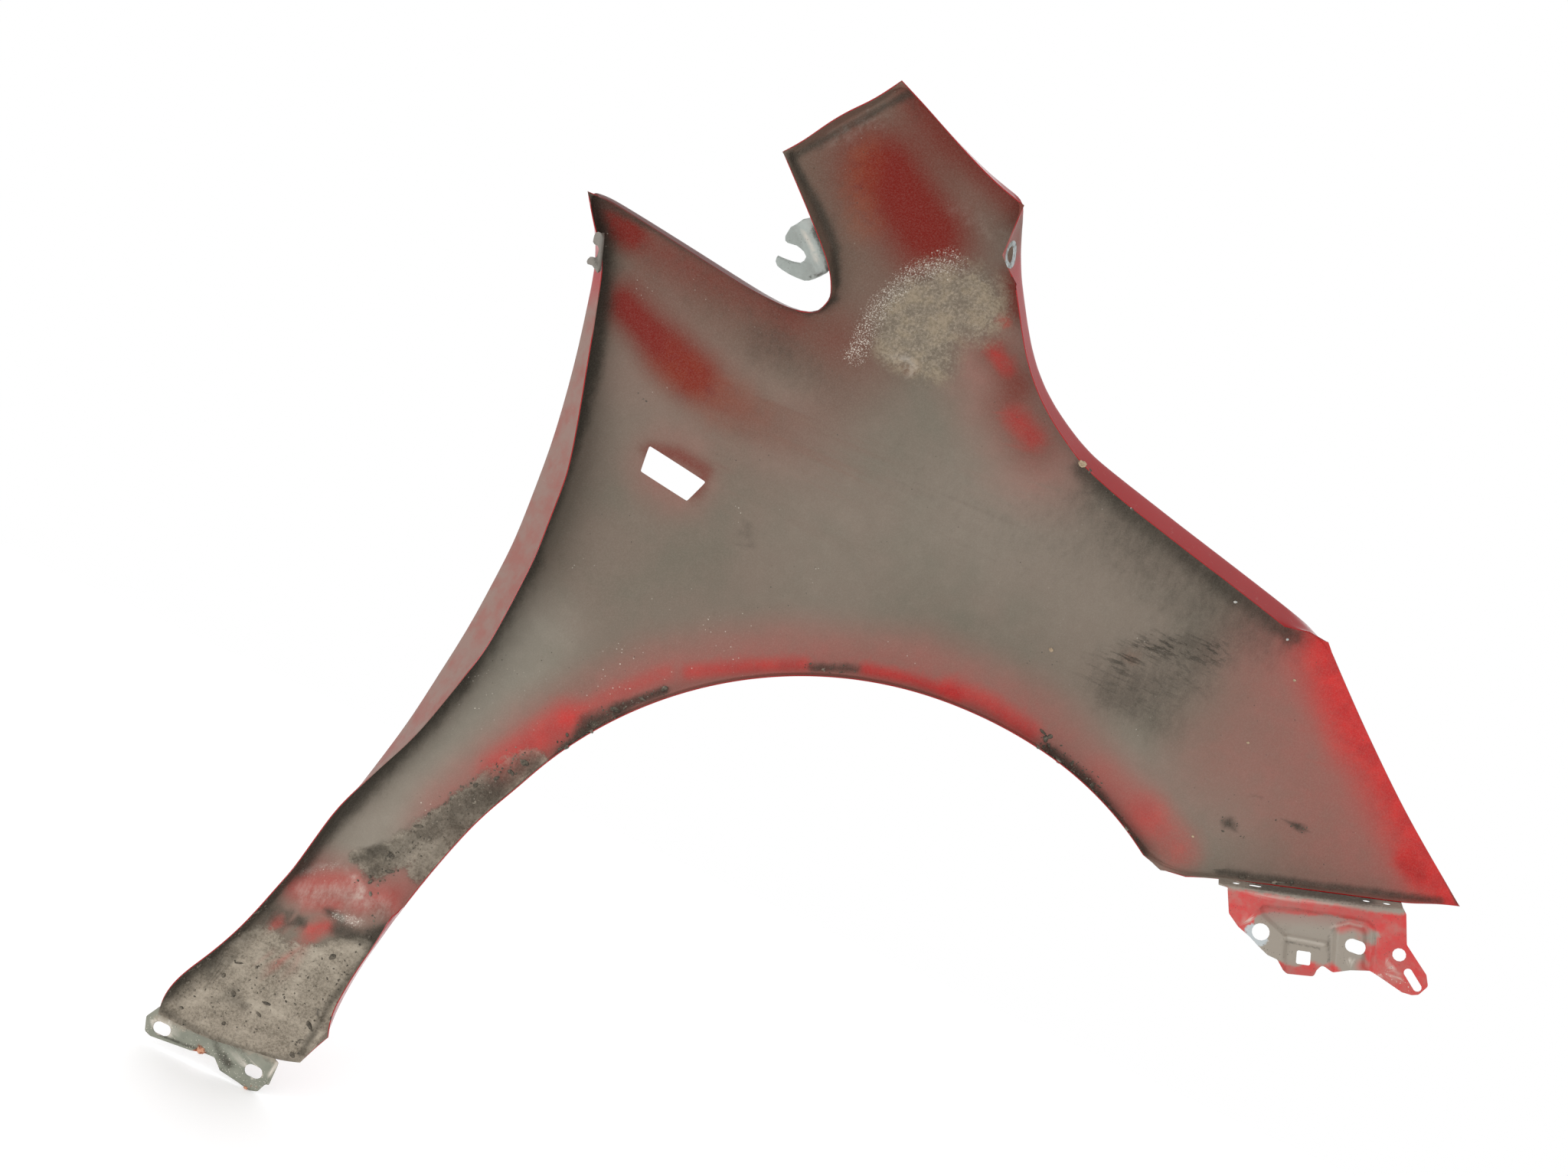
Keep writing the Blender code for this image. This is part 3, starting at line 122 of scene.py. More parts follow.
SKIN_MARKS = {
    # bright red overspray along the arch and the nose
    "spray": (
        (40, 0.62, (650, 1005), (700, 968), (740, 938)),
        (20, 0.35, (740, 940), (800, 908), (870, 878)),
        (17, 0.6, (900, 878), (980, 870), (1050, 868)),
        (15, 0.75, (1130, 874), (1190, 887), (1250, 908)),
        (24, 0.65, (1240, 898), (1290, 918), (1345, 955)),
        (48, 0.42, (1500, 1066), (1540, 1110)),
        (40, 0.18, (1440, 1010), (1500, 1066)),
        (88, 1.0, (1742, 845), (1790, 945), (1850, 1065), (1908, 1178)),
        (60, 0.5, (1748, 900), (1770, 960)),
        (26, 1.0, (1836, 1122), (1854, 1142)),
        (24, 0.3, (385, 1160), (433, 1150), (465, 1150)),
        (18, 0.3, (400, 1180), (440, 1182)),
        (24, 0.28, (470, 1178), (512, 1172), (515, 1190)),
        (15, 0.55, (352, 1210), (366, 1204)),
        (17, 0.6, (405, 1216), (428, 1210)),
        (13, 1.0, (357, 1250), (366, 1262)),
        (12, 1.0, (394, 1234), (399, 1240)),
        (7, 0.4, (380, 1266), (390, 1262)),
        (12, 0.9, (1308, 416), (1314, 422)),
        (17, 0.6, (1298, 458), (1316, 482)),
        (26, 0.6, (1326, 545), (1350, 572)),
    ),
    # deep red-brown paint on the neck, the belt and the upper flange, with painted shade over the
    # neck
    "deep": (
        (22, 0.45, (1836, 1122), (1854, 1142)),
        (56, 1.0, (812, 396), (840, 425), (880, 465), (905, 490)),
        (64, 0.6, (875, 465), (920, 500), (960, 535)),
        (40, 1.0, (785, 275), (800, 290), (822, 306)),
        (52, 0.55, (790, 275), (860, 320), (930, 356), (1030, 402)),
        (84, 0.42, (850, 350), (1000, 430), (1080, 440)),
        # partly the neck's paint and partly painted shade, where the neck turns away from the light
        (150, 0.32, (1080, 210), (1110, 420)),
        (92, 1.0, (1160, 225), (1190, 270), (1215, 305)),
        (140, 0.5, (1150, 205), (1230, 330)),
        (52, 0.75, (1195, 125), (1240, 185), (1300, 240), (1335, 275)),
        (42, 0.85, (1325, 370), (1330, 400)),
        (40, 0.6, (1300, 460), (1330, 500)),
        (60, 0.5, (1320, 530), (1350, 580)),
        (80, 0.2, (1150, 470), (1060, 560)),
        (19, 0.65, (850, 588), (882, 592), (922, 614), (908, 642)),
    ),
    # paler and greyer primer
    "faded": (
        (190, 0.3, (1330, 700), (1480, 800)),
        (190, 0.2, (1100, 720), (1280, 620)),
        (110, 0.62, (690, 830), (620, 930), (540, 1030), (480, 1090)),
        (120, 0.3, (1480, 1000), (1600, 1060)),
    ),
    # thin pinkish haze of overspray
    "haze": (
        (130, 0.25, (860, 450), (1000, 560)),
        (110, 0.65, (1290, 460), (1360, 600)),
        (80, 0.7, (872, 612), (884, 622)),
        (84, 1.0, (600, 1060), (700, 968), (860, 888), (1020, 862), (1200, 878), (1340, 940),
         (1470, 1060)),
        (60, 0.45, (560, 1080), (650, 1000)),
        (150, 1.0, (1690, 870), (1760, 1000), (1830, 1130)),
        (130, 0.6, (1600, 1000), (1740, 1110)),
        (66, 1.0, (400, 1150), (470, 1170), (530, 1160)),
    ),
    # dark grime in the folds and along the arch, and painted shade inside the flanges, over the
    # neck and across the panel
    "grime": (
        # painted shade inside the door flange that leans over the sheet, with some grime, narrow
        # here and wider in the next mark
        (30, 0.95, (776, 260), (783, 330), (786, 390), (775, 470), (755, 550), (725, 640),
         (690, 730), (645, 810), (600, 890), (545, 950), (480, 1020), (420, 1090), (392, 1128)),
        (44, 0.34, (700, 740), (640, 850), (560, 960), (480, 1050)),
        # painted shadow under the bonnet flange, with some grime, narrow and then wide
        (24, 0.62, (1414, 612), (1480, 668), (1560, 735), (1640, 795), (1690, 832)),
        (88, 0.4, (1430, 640), (1480, 700), (1580, 790), (1660, 840)),
        # painted shade across the panel, darker towards the bonnet flange
        (160, 0.26, (1400, 720), (1560, 830)),
        (150, 0.18, (1060, 600), (1250, 560)),
        # painted shade over the upper corner and the neck, where they turn away from the light
        (120, 0.34, (800, 320), (1010, 430), (1100, 250)),
        (13, 0.8, (1350, 455), (1372, 525), (1412, 590)),
        (12, 0.7, (785, 262), (860, 300), (940, 346), (1020, 394), (1060, 406), (1090, 390)),
        (13, 0.8, (1092, 370), (1090, 320), (1068, 270), (1046, 230), (1030, 200)),
        (12, 0.8, (1036, 204), (1080, 180), (1136, 150), (1186, 122)),
        (22, 0.45, (1190, 122), (1196, 150)),
        (24, 0.25, (1472, 852), (1512, 842), (1580, 848)),
        (70, 0.32, (1440, 885), (1500, 900), (1560, 868)),
        (120, 0.22, (1480, 890), (1530, 930)),
        (60, 0.28, (1450, 915), (1500, 940), (1520, 955)),
        (34, 0.5, (978, 690), (972, 706)),
        (60, 0.3, (1000, 450), (1100, 510)),
        # painted shade on the panel
        (120, 0.25, (1200, 640), (1330, 700)),
        (24, 0.8, (733, 984), (766, 956)),
        (27, 0.75, (764, 944), (806, 930)),
        (15, 0.85, (806, 926), (835, 914), (868, 902)),
        (14, 0.75, (1060, 872), (1120, 872)),
        (24, 0.9, (1370, 982), (1420, 1024), (1450, 1066), (1488, 1112)),
        (12, 1.0, (1600, 1078), (1612, 1080)),
        (8, 0.6, (1605, 1072), (1622, 1056), (1640, 1040)),
        (12, 1.0, (1686, 1076), (1696, 1080)),
        # painted shade along the sheet's right edge
        (8, 0.75, (1742, 838), (1790, 932), (1905, 1182)),
        (15, 0.75, (1590, 1138), (1700, 1154), (1800, 1166), (1880, 1178)),
        (38, 0.66, (490, 1135), (535, 1100), (595, 1056), (650, 1015), (695, 995)),
        (30, 0.5, (545, 1140), (600, 1082), (655, 1032)),
        (15, 0.8, (463, 1120), (500, 1108)),
        (19, 1.0, (205, 1305), (240, 1272), (297, 1222), (347, 1176), (392, 1122)),
        (34, 0.5, (230, 1300), (300, 1240), (360, 1190)),
        (13, 0.7, (395, 1375), (430, 1310), (470, 1262), (505, 1212)),
        (14, 0.8, (380, 1200), (397, 1204)),
        (12, 0.85, (427, 1190), (447, 1196)),
        (24, 0.85, (440, 1214), (470, 1224), (505, 1218)),
        (18, 0.7, (362, 1196), (392, 1206)),
        (26, 0.6, (280, 1262), (300, 1300), (316, 1314)),
        (8, 0.6, (322, 1274), (336, 1280)),
        (14, 0.6, (210, 1318), (270, 1352), (340, 1378), (385, 1386)),
    ),
    # the patch rubbed by something sharp
    "scratch": (
        (30, 1.0, (1466, 860), (1512, 842), (1588, 850)),
        (56, 0.4, (1440, 885), (1500, 905), (1560, 880)),
    ),
    # dried mud on the foot and along the arch
    "mud": (
        (60, 1.0, (235, 1325), (310, 1355), (385, 1375)),
        (75, 1.0, (270, 1290), (330, 1310), (420, 1300)),
        (36, 0.9, (312, 1240), (352, 1226)),
        (44, 1.0, (350, 1262), (420, 1262), (465, 1246)),
        (34, 0.8, (490, 1135), (535, 1100), (595, 1056), (650, 1015), (695, 995)),
        (28, 0.75, (545, 1140), (600, 1082), (655, 1032), (695, 1002)),
        (16, 0.6, (463, 1120), (500, 1112)),
        (22, 0.5, (742, 972), (790, 940)),
    ),
    # rough residue at the neck's root
    "residue": (
        (92, 1.0, (1212, 420), (1236, 396), (1264, 398)),
        (58, 0.6, (1170, 440), (1190, 400)),
        (52, 0.55, (1180, 460), (1225, 478)),
    ),
    "rust": (
        (56, 0.2, (880, 478), (915, 500), (955, 530)),
        (13, 0.6, (1174, 468), (1188, 482), (1196, 476)),
        (40, 0.3, (1130, 200), (1118, 250), (1128, 290)),
        (12, 0.3, (1474, 856), (1480, 860)),
    ),
    "speck": (
        (60, 0.3, (800, 310), (900, 370), (1000, 430)),
        (110, 0.42, (600, 880), (800, 900), (900, 830), (960, 850)),
        (36, 1.0, (1118, 462), (1148, 400), (1190, 358), (1240, 343)),
        (26, 0.5, (1240, 332), (1290, 372)),
        (13, 0.55, (462, 1146), (470, 1168)),
        (18, 0.9, (440, 1196), (470, 1206)),
        (26, 0.6, (400, 1140), (440, 1130)),
    ),
    # pale smears worn by rubbing, and painted highlights on the joggle's ridges
    "worn": (
        (10, 0.45, (462, 1146), (472, 1158), (470, 1172)),
        (11, 0.4, (442, 1196), (456, 1200), (470, 1206)),
        (8, 0.25, (396, 1140), (420, 1131), (450, 1132)),
        (32, 0.32, (400, 1168), (450, 1164), (500, 1186)),
        (22, 0.12, (1250, 272), (1290, 300), (1318, 318)),
        (26, 0.15, (1090, 180), (1150, 150)),
        (8, 0.42, (1158, 466), (1186, 468), (1197, 480), (1186, 492)),
    ),
    # thin paint on the flange beside the door and on the bolt's tab
    "dull": (
        (74, 1.0, (775, 430), (760, 500), (738, 580), (712, 660), (680, 730), (640, 800),
         (600, 860), (545, 930), (490, 1000)),
        (16, 0.8, (1335, 290), (1322, 330), (1314, 345)),
    ),
    # dark maroon rim of the paint at the belt and the neck
    "stain": (
        (30, 1.0, (772, 244), (860, 296), (940, 342), (1030, 398), (1075, 400)),
        (30, 1.0, (1092, 380), (1090, 320), (1068, 262), (1028, 195)),
        (30, 1.0, (1028, 195), (1100, 155), (1184, 104)),
        (24, 0.4, (1184, 104), (1230, 166)),
        (26, 1.0, (205, 1310), (240, 1272), (297, 1222), (347, 1176), (380, 1140)),
    ),
}

BUMPER_MARKS = {
    "dull": (
        (40, 1.0, (1668, 1215), (1700, 1222), (1725, 1240)),
        (26, 1.0, (1655, 1235), (1690, 1250)),
        (38, 1.0, (1735, 1215), (1760, 1240), (1768, 1262)),
        (22, 0.7, (1775, 1210), (1795, 1225)),
        (32, 1.0, (1595, 1144), (1660, 1152), (1720, 1162), (1790, 1174), (1826, 1180)),
        (20, 1.0, (1648, 1204), (1700, 1208), (1760, 1212)),
    ),
    "grime": (
        (24, 0.42, (1600, 1146), (1700, 1160), (1826, 1182)),
        (13, 0.7, (1640, 1158), (1690, 1164), (1720, 1168), (1790, 1178)),
        # the last three are painted shade along the pressed edges
        (6, 0.42, (1640, 1192), (1650, 1183), (1690, 1186), (1732, 1195), (1760, 1199),
         (1786, 1203), (1796, 1212), (1797, 1262)),
        (7, 0.5, (1736, 1262), (1735, 1225), (1742, 1212)),
        (4, 0.6, (1680, 1230), (1700, 1234), (1730, 1240)),
    ),
    "haze": (
        (24, 0.9, (1650, 1188), (1700, 1190), (1790, 1198)),
        (18, 0.9, (1680, 1270), (1716, 1274)),
        (20, 0.5, (1822, 1240), (1830, 1258)),
    ),
    "spray": (
        (12, 0.8, (1752, 1212), (1768, 1207), (1782, 1214)),
        (14, 0.9, (1780, 1262), (1790, 1268)),
    ),
    "worn": (
        # the first four are painted highlights along the bend and the pressed edges
        (3, 0.4, (1640, 1169), (1664, 1172)),
        (3, 0.4, (1672, 1170), (1700, 1176), (1728, 1181)),
        (4, 0.35, (1682, 1225), (1704, 1229), (1728, 1234)),
        (3, 0.4, (1744, 1210), (1762, 1206), (1778, 1210)),
        (2.5, 0.6, (1810, 1256), (1822, 1268), (1832, 1282)),
        (2.5, 0.5, (1800, 1274), (1822, 1274)),
        (4, 0.8, (1628, 1204), (1634, 1200)),
        (4, 0.8, (1762, 1256), (1766, 1256)),
    ),
    "zinc": (
        (19, 0.85, (1636, 1216), (1646, 1226)),
    ),
    "speck": (
        (22, 1.0, (1620, 1225), (1650, 1235)),
        (20, 0.8, (1800, 1275), (1830, 1290)),
    ),
}

SILL_MARKS = {
    "mud": (
        (15, 0.75, (205, 1330), (260, 1345), (330, 1370), (365, 1385)),
    ),
    "rust": (
        (8, 0.9, (256, 1372), (266, 1375)),
        (10, 0.4, (315, 1415), (335, 1420)),
    ),
    "grime": (
        (14, 0.9, (282, 1372), (300, 1390)),
        (5, 0.8, (205, 1350), (240, 1364), (270, 1374)),
        (8, 0.6, (215, 1326), (290, 1362), (350, 1384)),
        (5, 0.7, (284, 1396), (300, 1412), (330, 1424)),
    ),
    "worn": (
        # painted highlights on the slots' rims and the curl
        (3, 0.7, (198, 1334), (208, 1332), (222, 1340), (221, 1352), (206, 1350), (198, 1336)),
        (3, 0.7, (320, 1392), (336, 1394), (342, 1404), (330, 1408)),
        (4, 0.9, (366, 1382), (360, 1392), (352, 1404)),
    ),
    "speck": (
        (30, 0.7, (200, 1340), (340, 1410)),
    ),
}

HOOK_MARKS = {
    "grime": (
        # the first is painted shade on the web beside the flange, with dirt
        (16, 0.75, (1066, 300), (1080, 330), (1086, 350)),
        (6, 0.7, (1056, 364), (1082, 352)),
        (6, 0.5, (1030, 294), (1050, 286)),
    ),
    "worn": (
        # painted highlight along the crease between the web and the hook
        (5, 0.6, (1050, 304), (1060, 322), (1066, 340)),
    ),
}

CLIP_MARKS = {
    "grime": (
        (10, 0.6, (775, 320), (779, 345)),
    ),
}

Bracket = namedtuple("Bracket", "node piece slot material base under shine under_layer marks")

BRACKETS = (
    Bracket("bumper_bracket", "bumper_carrier_bracket", "bracket_paint", "bumper_bracket_paint",
            "overspray", "bracket_under", 0.4, "dull", BUMPER_MARKS),
    Bracket("sill_bracket", "sill_foot_bracket", "sill_primer", "sill_bracket_primer",
            "sill", "sill_worn", 0.5, "dull", SILL_MARKS),
    # the hook's darker web tone is dirt with painted shade, laid by its grime and shade layer
    Bracket("glass_hook", "quarter_glass_hook", "hook_steel", "hook_primer",
            "hook", "hook_web_dirt_and_shade", 0.4, "grime", HOOK_MARKS),
    Bracket("pillar_clip", "pillar_trim_clip", "clip_steel", "clip_primer",
            "clip", "primer", 0.4, "dull", CLIP_MARKS),
)

# Low ridges and dents of the sheet: radius in pixels, height in metres, and the pixels along it

SKIN_RIDGES = (
    (16, 0.0030, (388, 1158), (425, 1138), (465, 1140), (505, 1162)),
    (14, -0.0024, (392, 1180), (440, 1162), (480, 1166), (512, 1186)),
    (13, 0.0022, (410, 1200), (455, 1188), (500, 1200)),
    (16, 0.0016, (455, 1172), (490, 1182)),
    (40, 0.0010, (1395, 620), (1470, 690), (1560, 760)),
    (70, -0.0010, (930, 520), (1010, 560)),
    (60, 0.0008, (1450, 860), (1540, 900)),
    (60, 0.0008, (700, 740), (660, 860)),
    (90, -0.0008, (1180, 620), (1240, 680)),
)


# Placing by the photograph

def photo_place(points):
    """Pixels of the photograph where points of the frame show."""
    away = points - np.array(CAMERA_PLACE)
    reach = LENS_MM / SENSOR_MM * PHOTO_WIDTH / away[:, 1]
    return np.stack((0.5 * PHOTO_WIDTH + (away @ np.array(CAMERA_RIGHT)) * reach,
                     0.5 * PHOTO_HEIGHT - (away @ np.array(CAMERA_UP)) * reach), axis=1)


def vertex_rows(mesh, value="co"):
    """Places or normals of a mesh's vertices, as rows."""
    rows = np.zeros(len(mesh.vertices) * 3)
    mesh.vertices.foreach_get(value, rows)
    return rows.reshape(-1, 3)


def ease(values):
    """Smooth step from 0 to 1."""
    t = np.clip(values, 0.0, 1.0)
    return t * t * (3.0 - 2.0 * t)


def near_path(places, path, radius):
    """How near each place lies to a path: 1 on it, 0 at the radius."""
    best = np.full(len(places), np.inf)
    corners = [np.array(corner, float) for corner in path]
    for a, b in zip(corners, corners[1:]):
        span = b - a
        along = np.clip(((places - a) @ span) / max(span @ span, 1e-9), 0.0, 1.0)
        best = np.minimum(best, np.linalg.norm(places - a - along[:, None] * span, axis=1))
    return ease(1.0 - best / radius)


def turned_to_camera(mesh):
    """How far each vertex looks at the camera: 1 towards it, 0 away from it."""
    away = vertex_rows(mesh) - np.array(CAMERA_PLACE)
    turn = np.sum(vertex_rows(mesh, "normal") * away, axis=1) / np.linalg.norm(away, axis=1)
    return ease(0.5 - FACING_GAIN * turn)


def paint_layer(mesh, name, marks, share=1.0):
    """Writes one layer of marks on the mesh, as values from 0 to 1."""
    places = photo_place(vertex_rows(mesh))
    clear = np.ones(len(places))
    for radius, strength, *path in marks:
        clear *= 1.0 - strength * near_path(places, path, radius)
    values = mesh.attributes.new(name, "FLOAT", "POINT")
    values.data.foreach_set("value", ((1.0 - clear) * share).astype(np.float32))


def paint_layers(mesh, marks, turned=()):
    """Writes every layer on the mesh, the turned ones only where it looks at the camera."""
    facing = turned_to_camera(mesh)
    for layer in LAYERS:
        paint_layer(mesh, layer, marks.get(layer, ()), facing if layer in turned else 1.0)


def raise_ridges(mesh, ridges):
    """Moves vertices along their normals where the sheet has low ridges and dents."""
    points = vertex_rows(mesh)
    places = photo_place(points)
    normals = vertex_rows(mesh, "normal")
    for radius, height, *path in ridges:
        points -= normals * (height * near_path(places, path, radius))[:, None]
    mesh.vertices.foreach_set("co", points.ravel())
    mesh.update()


# Shader expressions

class Value:
    """A shader socket that takes part in Python sums."""

    def __init__(self, shader, socket):
        self.shader = shader
        self.socket = socket

    def __add__(self, other):
        return self.shader.sum("ADD", self, other)

    def __sub__(self, other):
        return self.shader.sum("SUBTRACT", self, other)

    def __rsub__(self, other):
        return self.shader.sum("SUBTRACT", other, self)

    def __mul__(self, other):
        return self.shader.sum("MULTIPLY", self, other)

    __radd__ = __add__
    __rmul__ = __mul__

    def clamp(self, low=0.0, high=1.0):
        return self.shader.node("ShaderNodeClamp",
                                inputs={"Value": self, "Min": low, "Max": high})

    def between(self, low, high):
        """0 below the low value, 1 above the high one, and smooth between."""
        return self.shader.node("ShaderNodeMapRange", {"interpolation_type": "SMOOTHSTEP"},
                                {"Value": self, "From Min": low, "From Max": high})


class Shader:
    """A material's nodes, written as expressions."""

    def __init__(self, name):
        self.material = bpy.data.materials.new(name)
        self.material.use_nodes = True
        self.tree = self.material.node_tree
        self.sockets = self.tree.nodes["Principled BSDF"].inputs
        self.coordinates = self.node("ShaderNodeTexCoord", output="Object")
        self.colour = None

    def node(self, kind, settings=None, inputs=None, output=0):
        """Adds a node, with its settings first and then the values or links of its sockets."""
        made = self.tree.nodes.new(kind)
        for name, value in (settings or {}).items():
            setattr(made, name, value)
        for name, value in (inputs or {}).items():
            self.feed(made.inputs[name], value)
        return Value(self, made.outputs[output])

    def feed(self, socket, value):
        if isinstance(value, Value):
            self.tree.links.new(value.socket, socket)
        elif socket.type == "RGBA" and len(value) == 3:
            socket.default_value = (*value, 1.0)
        else:
            socket.default_value = value

    def sum(self, operation, a, b):
        return self.node("ShaderNodeMath", {"operation": operation}, {0: a, 1: b})

    def noise(self, scale, detail=4.0, roughness=0.6, stretch=None):
        """Cloudy noise on the frame's metres: a scale of 100 gives clouds about 10 mm across."""
        vector = self.coordinates
        if stretch:
            vector = self.node("ShaderNodeVectorMath", {"operation": "MULTIPLY"},
                               {0: vector, 1: stretch})
        return self.node("ShaderNodeTexNoise", output="Fac", inputs={
            "Vector": vector, "Scale": scale, "Detail": detail, "Roughness": roughness})

    def flecks(self, scale, size):
        """Round flecks, about one in each cell of the scale."""
        distance = self.node("ShaderNodeTexVoronoi", output="Distance",
                             inputs={"Vector": self.coordinates, "Scale": scale})
        return 1.0 - distance.between(size * 0.6, size)

    def layer(self, name):
        return self.node("ShaderNodeAttribute", {"attribute_name": name}, output="Fac")

    def mix(self, share, a, b):
        """Colour b over colour a by the share."""
        return self.node("ShaderNodeMix", {"data_type": "RGBA"}, {"Factor": share, 6: a, 7: b},
                         output=2)

    def over(self, share, tone):
        """Paints a tone over the surface's colour by the share."""
        self.colour = self.mix(share, self.colour, tone)

    def near(self, centre, low, high):
        """1 within the low distance of a point, 0 beyond the high one."""
        distance = self.node("ShaderNodeVectorMath", {"operation": "DISTANCE"},
                             {0: self.coordinates, 1: centre}, output="Value")
        return 1.0 - distance.between(low, high)

    def bump(self, height, distance, strength):
        normal = self.node("ShaderNodeBump", inputs={
            "Height": height, "Distance": distance, "Strength": strength})
        self.feed(self.sockets["Normal"], normal)

    def finish(self, roughness):
        self.feed(self.sockets["Base Color"], self.colour)
        self.feed(self.sockets["Roughness"], roughness)
        return self.material


def primer_material(looks):
    """Grey-brown primer of the inner face, with red overspray, grime, mud and residue, and painted
    shade and highlights.
    """
    shader = Shader("inner_primer")
    clouds = shader.noise(7.0, 5.0)
    grain = shader.noise(900.0, 3.0, 0.7)
    mist = shader.noise(520.0, 4.0, 0.75)
    blotch = shader.noise(60.0, 6.0, 0.65)
    rough = shader.noise(420.0, 6.0, 0.8)
    shader.colour = shader.mix(clouds.between(0.35, 0.7), looks.primer, looks.primer_green)
    shader.over(blotch.between(0.45, 0.8) * 0.22, looks.primer_pale)

    shader.over(shader.layer("faded") * (0.5 + 0.7 * blotch), looks.primer_faded)
    haze = shader.layer("haze") * (0.55 + 0.9 * blotch)
    shader.over((haze * 0.75).clamp(), looks.haze)
    deep = shader.layer("deep")
    soaked = (deep * 1.1 + (mist - 0.5) * 0.9 * deep * (1.3 - deep)).clamp()
    shader.over(soaked, shader.mix(deep, looks.deep_brown, looks.deep_red))
    spray = shader.layer("spray")
    covered = (spray * 1.1 + (mist - 0.5) * 1.1 * spray * (1.3 - spray)).clamp()
    red = shader.mix(blotch.between(0.3, 0.7), looks.overspray, looks.overspray_deep)
    red = shader.mix(deep * 0.55, red, looks.deep_red)
    shader.over(covered, red)
    rust = shader.layer("rust") * (blotch + 0.3 * mist).between(0.4, 0.75)
    shader.over(rust, looks.rust)

    residue = shader.layer("residue")
    crust = (residue + (rough - 0.5) * 0.7 + (blotch - 0.5) * 0.5).between(0.12, 0.75)
    grains = (rough + 0.5 * blotch).between(0.62, 0.92)
    grains = shader.mix(grains, looks.residue, looks.residue_pale)
    grains = shader.mix(blotch.between(0.42, 0.62) * 0.35, grains, looks.residue_yellow)
    shader.over(crust * 0.9, grains)

    mud = shader.layer("mud")
    drifts = shader.noise(30.0, 6.0, 0.7, (1.0, 1.0, 1.8))
    dried = mud + (rough - 0.5) * 0.7 + (blotch - 0.5) * 0.8 + (drifts - 0.5) * 0.9
    dried = dried.between(0.25, 0.55) * (1.0 - 0.95 * spray)
    earth = shader.mix((rough + 0.6 * drifts).between(0.58, 0.93), looks.mud_dark, looks.mud)
    earth = shader.mix(drifts.between(0.50, 0.72) * 0.8, earth, looks.mud_pale)
    shader.over(dried * 0.92, earth)

    # dark grime, and painted shade inside the flanges and over the neck
    grime = shader.layer("grime")
    streaks = shader.noise(150.0, 7.0, 0.75, (1.0, 1.0, 0.45))
    dirt_and_shade = (grime + (streaks - 0.5) * 0.6 + (blotch - 0.5) * 0.35).between(0.2, 0.95)
    shader.over(dirt_and_shade * 0.85, looks.grime)
    lines = shader.noise(330.0, 5.0, 0.7, (0.16, 1.0, 1.0))
    scored = shader.layer("scratch") * lines.between(0.50, 0.60)
    shader.over(scored * 0.85, looks.grime)
    # pale wear, and painted highlights on the joggle's ridges
    worn = shader.layer("worn") * (streaks + 0.4 * shader.layer("worn")).between(0.45, 0.8)
    shader.over(worn, looks.fleck_and_highlight)

    speck = shader.layer("speck")
    pale = shader.flecks(230.0, 0.16) * (shader.noise(35.0) + 0.35 * speck).between(0.6, 0.8)
    shader.over(pale * 0.8, looks.fleck_and_highlight)
    dusting = (grain + 0.14 * speck).between(0.64, 0.76) * speck.between(0.35, 0.8)
    shader.over(dusting * 0.8, looks.fleck_and_highlight)
    dark = shader.flecks(150.0, 0.10) * shader.noise(22.0).between(0.5, 0.65)
    shader.over(dark * 0.7, looks.grime)
    shader.over(grain.between(0.35, 0.75) * 0.06, looks.fleck_and_highlight)

    dusty = (crust + dried + dirt_and_shade * 0.6).clamp()
    roughness = (0.48 + 0.12 * blotch + 0.45 * dusty - 0.10 * covered).clamp(0.2, 1.0)
    height = 0.25 * grain + 1.8 * rough * (crust + dried).clamp() + 0.5 * blotch
    shader.bump(height + 0.9 * streaks * dirt_and_shade, 0.0006, 0.8)
    shader.sockets["Specular IOR Level"].default_value = 0.12
    return shader.finish(roughness)


def paint_material(looks):
    """Glossy red paint of the outer face, thin and dull on the flange beside the door."""
    shader = Shader("outer_paint")
    clouds = shader.noise(6.0, 4.0)
    fine = shader.noise(1200.0, 2.0)
    dust = shader.noise(140.0, 5.0, 0.7)
    blotch = shader.noise(45.0, 5.0)
    shader.colour = shader.mix(clouds.between(0.3, 0.7) * 0.5, looks.paint, looks.paint_deep)
    shader.over(dust.between(0.58, 0.8) * 0.16, looks.dust)
    dull = (shader.layer("dull") * 1.3).clamp()
    shader.over(dull, shader.mix(blotch.between(0.35, 0.7), looks.dull_paint, looks.dull_paint_red))
    stain = (shader.layer("stain") * 1.4).clamp()
    shader.over(stain * 0.9, looks.stain)
    ring = shader.near(RING_CENTRE, RING_RADIUS, RING_EDGE)
    shader.over(ring, shader.mix(dust.between(0.4, 0.6), looks.zinc, looks.zinc_dark))
    scratched = shader.noise(90.0, 3.0, 0.5, (1.0, 1.0, 14.0)).between(0.70, 0.76) * 0.25
    shader.over(scratched, looks.dust)
    roughness = (0.14 + 0.25 * dust.between(0.45, 0.8) + 0.4 * dull + 0.3 * scratched
                 + 0.3 * ring).clamp(0.05, 1.0)
    shader.bump(0.4 * shader.noise(320.0, 2.0) + 0.2 * fine, 0.0001, 0.35)
    shader.sockets["Coat Roughness"].default_value = 0.08
    shader.sockets["Specular IOR Level"].default_value = 0.15
    coat = 0.25 * (1.0 - dull) * (1.0 - ring) * (1.0 - stain)
    shader.feed(shader.sockets["Coat Weight"], coat)
    return shader.finish(roughness)


